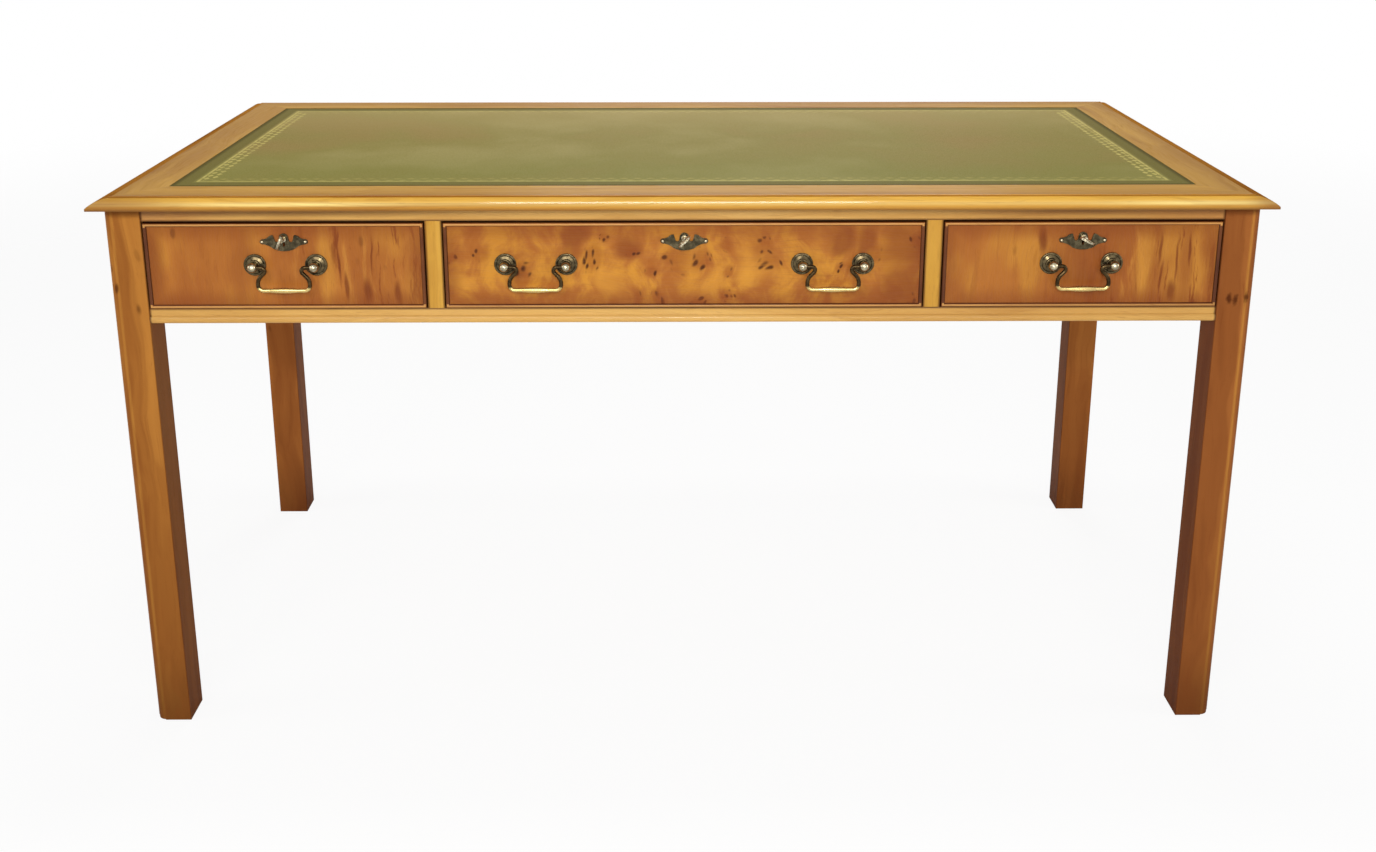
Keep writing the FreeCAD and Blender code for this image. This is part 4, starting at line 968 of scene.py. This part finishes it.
FILM_COUNT = 220.0
FILM_SPAN = (0.35, 0.7)
FILM_GLOSS_SPAN = (0.3, 0.75)
STEEL_ROUGHNESS = (0.26, 0.42)
STEEL_SCRATCH_COUNTS = (900.0, 300.0, 2000.0)
STEEL_RELIEF = 0.08
STEEL_DEPTH = 0.0002


def dull_steel(name, bright, dull):
    """Steel with a grey-brown film and fine scratches."""
    finish = Finish(name)
    vector = finish.place()
    film = finish.noise(vector, scale=FILM_COUNT, detail=4.0, roughness=0.6)
    scratches = finish.noise(finish.scaled(vector, STEEL_SCRATCH_COUNTS), detail=2.0)
    finish.surface(
        Base_Color=finish.mix(finish.rise(film, FILM_SPAN), dull, bright),
        Metallic=1.0,
        Roughness=finish.between(film, FILM_GLOSS_SPAN, STEEL_ROUGHNESS),
        Normal=finish.relief(scratches, STEEL_RELIEF, STEEL_DEPTH, METAL_EDGE),
    )
    return finish.material


# Putting the finishes on the pieces

# Steps from one piece to the next through the pattern, so that no two pieces share a figure.
MOULDING_STEP = (0.0, 0.0, 3.0)
LEG_STEP = (2.3, 1.1, 0.7)
FRONT_STEP = (1.9, 0.0, 0.8)


def stepped(number, step):
    return tuple(number * part for part in step)


def dress(material, *nodes):
    """Gives nodes of the frame one finish all over."""
    for node in nodes:
        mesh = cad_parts[node].data
        mesh.materials.clear()
        mesh.materials.append(material)


def dress_top():
    for number, side in enumerate(("front", "right", "back", "left")):
        name = f"moulding_yew_{side}"
        shift = stepped(number, MOULDING_STEP)
        if side in ("front", "back"):
            moulding = yew(name, "X", GOLD_TONES, shift, streaks=22.0, rings=9.0, ring_share=0.18, gloss=0.24,
                           coat=edge_polish, specular=0.01, figure=edge_shade(True), fibre_relief=0.03)
        else:
            moulding = yew(name, "Y", END_TONES, shift, streaks=22.0, rings=9.0, ring_share=0.18, gloss=0.24,
                           coat=0.0, specular=0.0, figure=edge_shade(False), fibre_relief=0.03)
        dress(moulding, f"top_moulding_{side}")
    dress(border(), "crossbanding")
    dress(leather(), "leather_inset")
    dress(yew("panel_yew", "X", APRON_TONES, shift=(0.0, 3.0, 1.0)), "top_panel")


def dress_carcass():
    rail = yew("rail_yew", "X", PALE_TONES, shift=(1.7, 0.0, 4.0), streaks=18.0, rings=8.0, ring_share=0.2,
               coat=0.2, figure=rail_shade)
    dress(rail, "upper_front_rail", "lower_front_rail", "apron_beads")
    back = yew("back_yew", "X", APRON_TONES, shift=(3.1, 0.0, 7.0), streaks=14.0, rings=9.0, ring_share=0.2,
               pips=0.05)
    dress(back, "back_apron")
    end = yew("side_yew", "Y", APRON_TONES, shift=(5.1, 0.0, 2.0), streaks=12.0, rings=10.0, ring_share=0.22,
              pips=0.05)
    dress(end, "side_apron_left", "side_apron_right")
    for side in ("left", "right"):
        low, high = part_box(f"muntin_{side}")
        # Each muntin has painted shade along both its edges beside the drawers.
        muntin = yew(f"muntin_yew_{side}", "Z", MUNTIN_TONES, shift=(0.6, 2.0, 0.0), streaks=30.0, rings=5.0,
                     ring_share=0.2, figure=gap_shade(("X", low[0]), ("X", high[0])))
        dress(muntin, f"muntin_{side}")
    for number, (name, tones) in enumerate(LEG_TONES_OF.items()):
        knots = LEG_KNOTS if name == "leg_front_right" else ()
        leg = yew(f"leg_yew_{number}", "Z", tones, stepped(number, LEG_STEP), streaks=26.0, rings=6.0,
                  ring_share=0.22, pips=0.04, specular=0.01, coat=0.0, figure=leg_shade_and_knots(name, knots))
        dress(leg, name)
    dress(oak("runner_oak", "Y"), "drawer_runners", "drawer_kickers", "drawer_stops")
    screw = dull_steel("screw_steel", bright=srgb(150, 146, 138), dull=srgb(92, 86, 78))
    dress(screw, "top_screws")


def dress_drawers():
    rose = aged_brass("rose_brass", bright=srgb(112, 98, 70), dull=srgb(34, 28, 20))
    post = aged_brass("post_brass", bright=srgb(206, 194, 162), dull=srgb(60, 50, 34))
    # The escutcheon's pin heads get a painted highlight.
    plate = aged_brass("plate_brass", bright=srgb(106, 96, 72), dull=srgb(26, 22, 16), brightened=pin_heads,
                       bright_colour=srgb(188, 176, 146))
    bail = aged_brass("bail_brass", bright=srgb(82, 66, 42), dull=srgb(28, 21, 14), brightened=polished_grip,
                      bright_colour=srgb(210, 184, 120))
    lock = aged_brass("lock_brass", bright=srgb(196, 164, 100), dull=srgb(110, 86, 46))
    key = dull_steel("key_steel", bright=srgb(226, 216, 188), dull=srgb(140, 128, 102))
    bolt = dull_steel("bolt_steel", bright=srgb(124, 120, 112), dull=srgb(78, 73, 66))
    bead = yew("bead_yew", "X", BEAD_TONES, streaks=14.0, rings=4.0, ring_share=0.2, gloss=0.34, coat=0.35,
               coat_roughness=0.28, specular=0.05, figure=bead_shade, fibre_relief=0.02)
    side_lining = oak("side_oak", "Y", shift=(0.0, 0.0, 3.0))
    cross_lining = oak("cross_oak", "X", shift=(2.0, 0.0, 0.0))
    # The figure of each front, its grain and how common pips are in it.
    fronts = {
        "left": (flame(LEFT_MIDDLE, LEFT_SHADES, LEFT_GOLDS, LEFT_STROKES), "Z", 0.03),
        "centre": (burr, "X", 0.0),
        "right": (flame(RIGHT_MIDDLE, RIGHT_SHADES, RIGHT_GOLDS, RIGHT_STROKES), "Z", 0.03),
    }
    for number, side in enumerate(SIDES):
        figure, grain, pips = fronts[side]
        front = yew(f"{side}_front_yew", grain, DRAWER_TONES, stepped(number, FRONT_STEP), streaks=7.0,
                    rings=5.0, ring_share=0.14, pips=pips, gloss=0.26, figure=shaded_front(side, figure))
        dress(front, f"{side}_drawer_front")
        dress(bead, f"{side}_drawer_beads")
        dress(side_lining, f"{side}_drawer_sides")
        dress(cross_lining, f"{side}_drawer_back", f"{side}_drawer_bottom")
        dress(lock, f"{side}_lock_case")
        dress(bolt, f"{side}_lock_bolt")
        dress(key, f"{side}_key")
        dress(plate, f"{side}_escutcheon")
        dress(rose, f"{side}_handle_roses")
        dress(post, f"{side}_handle_posts")
    dress(bail, *BAILS)


# The studio: floor, lights and camera

WHITE = (1.0, 1.0, 1.0, 1.0)
FLOOR_RADIUS = 6.0
FLOOR_SIDES = 48
FLOOR_DROP = 0.0005
FLOOR_COLOUR = (0.9, 0.9, 0.9, 1.0)
FLOOR_FADE_SPAN = (2.2, 5.0)
FLOOR_GLOW_SHARE = 0.9
WORLD_STRENGTH = 0.22
# Softboxes: place, aim, width, height and power in watts.
LAMPS = {
    "key_softbox": ((-0.9, -2.9, 2.2), (0.0, -0.2, 0.5), 1.6, 1.0, 30.0),
    "front_softbox": ((0.5, -3.2, 1.3), (0.1, -0.2, 0.5), 1.6, 0.8, 24.0),
    "flash": ((0.05, -2.4, 1.5), (0.0, -0.3, 0.65), 0.22, 0.16, 10.0),
    "top_strip": ((0.0, 0.25, 3.0), (0.0, 0.0, 0.76), 1.1, 0.35, 20.0),
    "left_softbox": ((-3.3, -0.7, 1.5), (0.0, 0.0, 0.5), 1.2, 1.2, 18.0),
    "right_softbox": ((3.3, -0.7, 1.5), (0.0, 0.0, 0.5), 1.2, 1.2, 20.0),
    "back_softbox": ((0.3, 3.0, 2.2), (0.0, 0.0, 0.5), 1.8, 1.2, 34.0),
}


def make_floor():
    """A pale disc that fades into the white background, and keeps the table's shadow."""
    bpy.ops.mesh.primitive_circle_add(vertices=FLOOR_SIDES, radius=FLOOR_RADIUS, fill_type="NGON",
                                      location=(0.0, 0.0, -FLOOR_DROP))
    floor = bpy.context.object
    floor.name = "studio_floor"
    finish = Finish("pale_floor")
    x, y, _ = finish.parts(finish.place())
    from_middle = finish.distance(finish.joined(x, y, 0.0), (0.0, 0.0, 0.0))
    finish.surface(Base_Color=FLOOR_COLOUR, Roughness=0.9, Specular_IOR_Level=0.1)
    seen = finish.add("ShaderNodeLightPath").outputs["Is Camera Ray"]
    glow = finish.add("ShaderNodeEmission")
    lifted = finish.add("ShaderNodeMixShader", Fac=finish.math("MULTIPLY", seen, FLOOR_GLOW_SHARE))
    finish.tree.links.new(finish.shader.outputs["BSDF"], lifted.inputs[1])
    finish.tree.links.new(glow.outputs["Emission"], lifted.inputs[2])
    clear = finish.add("ShaderNodeBsdfTransparent")
    faded = finish.add("ShaderNodeMixShader", Fac=finish.rise(from_middle, FLOOR_FADE_SPAN))
    finish.tree.links.new(lifted.outputs["Shader"], faded.inputs[1])
    finish.tree.links.new(clear.outputs["BSDF"], faded.inputs[2])
    finish.tree.links.new(faded.outputs["Shader"], finish.output.inputs["Surface"])
    floor.data.materials.append(finish.material)


def make_world():
    """An even sky: white where it is seen, plain soft light where it falls on the table."""
    world = bpy.data.worlds.new("studio")
    world.use_nodes = True
    bpy.context.scene.world = world
    tree = world.node_tree
    background = tree.nodes["Background"]
    background.inputs["Color"].default_value = WHITE
    path = tree.nodes.new("ShaderNodeLightPath")
    seen = path.outputs["Is Camera Ray"]
    for ray in ("Is Glossy Ray", "Is Transmission Ray"):
        either = tree.nodes.new("ShaderNodeMath")
        either.operation = "MAXIMUM"
        tree.links.new(seen, either.inputs[0])
        tree.links.new(path.outputs[ray], either.inputs[1])
        seen = either.outputs["Value"]
    strength = tree.nodes.new("ShaderNodeMapRange")
    strength.inputs["To Min"].default_value = WORLD_STRENGTH
    tree.links.new(seen, strength.inputs["Value"])
    tree.links.new(strength.outputs["Result"], background.inputs["Strength"])


def make_lamps():
    for name, (place, aim, width, height, power) in LAMPS.items():
        lamp = bpy.data.lights.new(name, "AREA")
        lamp.shape = "RECTANGLE"
        lamp.size = width
        lamp.size_y = height
        lamp.energy = power
        holder = bpy.data.objects.new(name, lamp)
        holder.location = place
        holder.rotation_euler = (Vector(aim) - Vector(place)).to_track_quat("-Z", "Y").to_euler()
        bpy.context.collection.objects.link(holder)


def make_camera():
    data = bpy.data.cameras.new("camera")
    data.sensor_width = SENSOR_WIDTH_MM
    data.lens = FOCAL_PX * SENSOR_WIDTH_MM / IMAGE_WIDTH_PX
    data.shift_y = LENS_SHIFT
    camera = bpy.data.objects.new("camera", data)
    camera.location = CAMERA_PLACE
    tilt = math.radians(LEVEL_DEG - CAMERA_PITCH_DEG)
    camera.rotation_euler = Euler((tilt, 0.0, math.radians(CAMERA_YAW_DEG)))
    bpy.context.collection.objects.link(camera)
    bpy.context.scene.camera = camera


dress_top()
dress_carcass()
dress_drawers()
make_floor()
make_world()
make_lamps()
make_camera()
bpy.context.scene.view_settings.view_transform = "Standard"
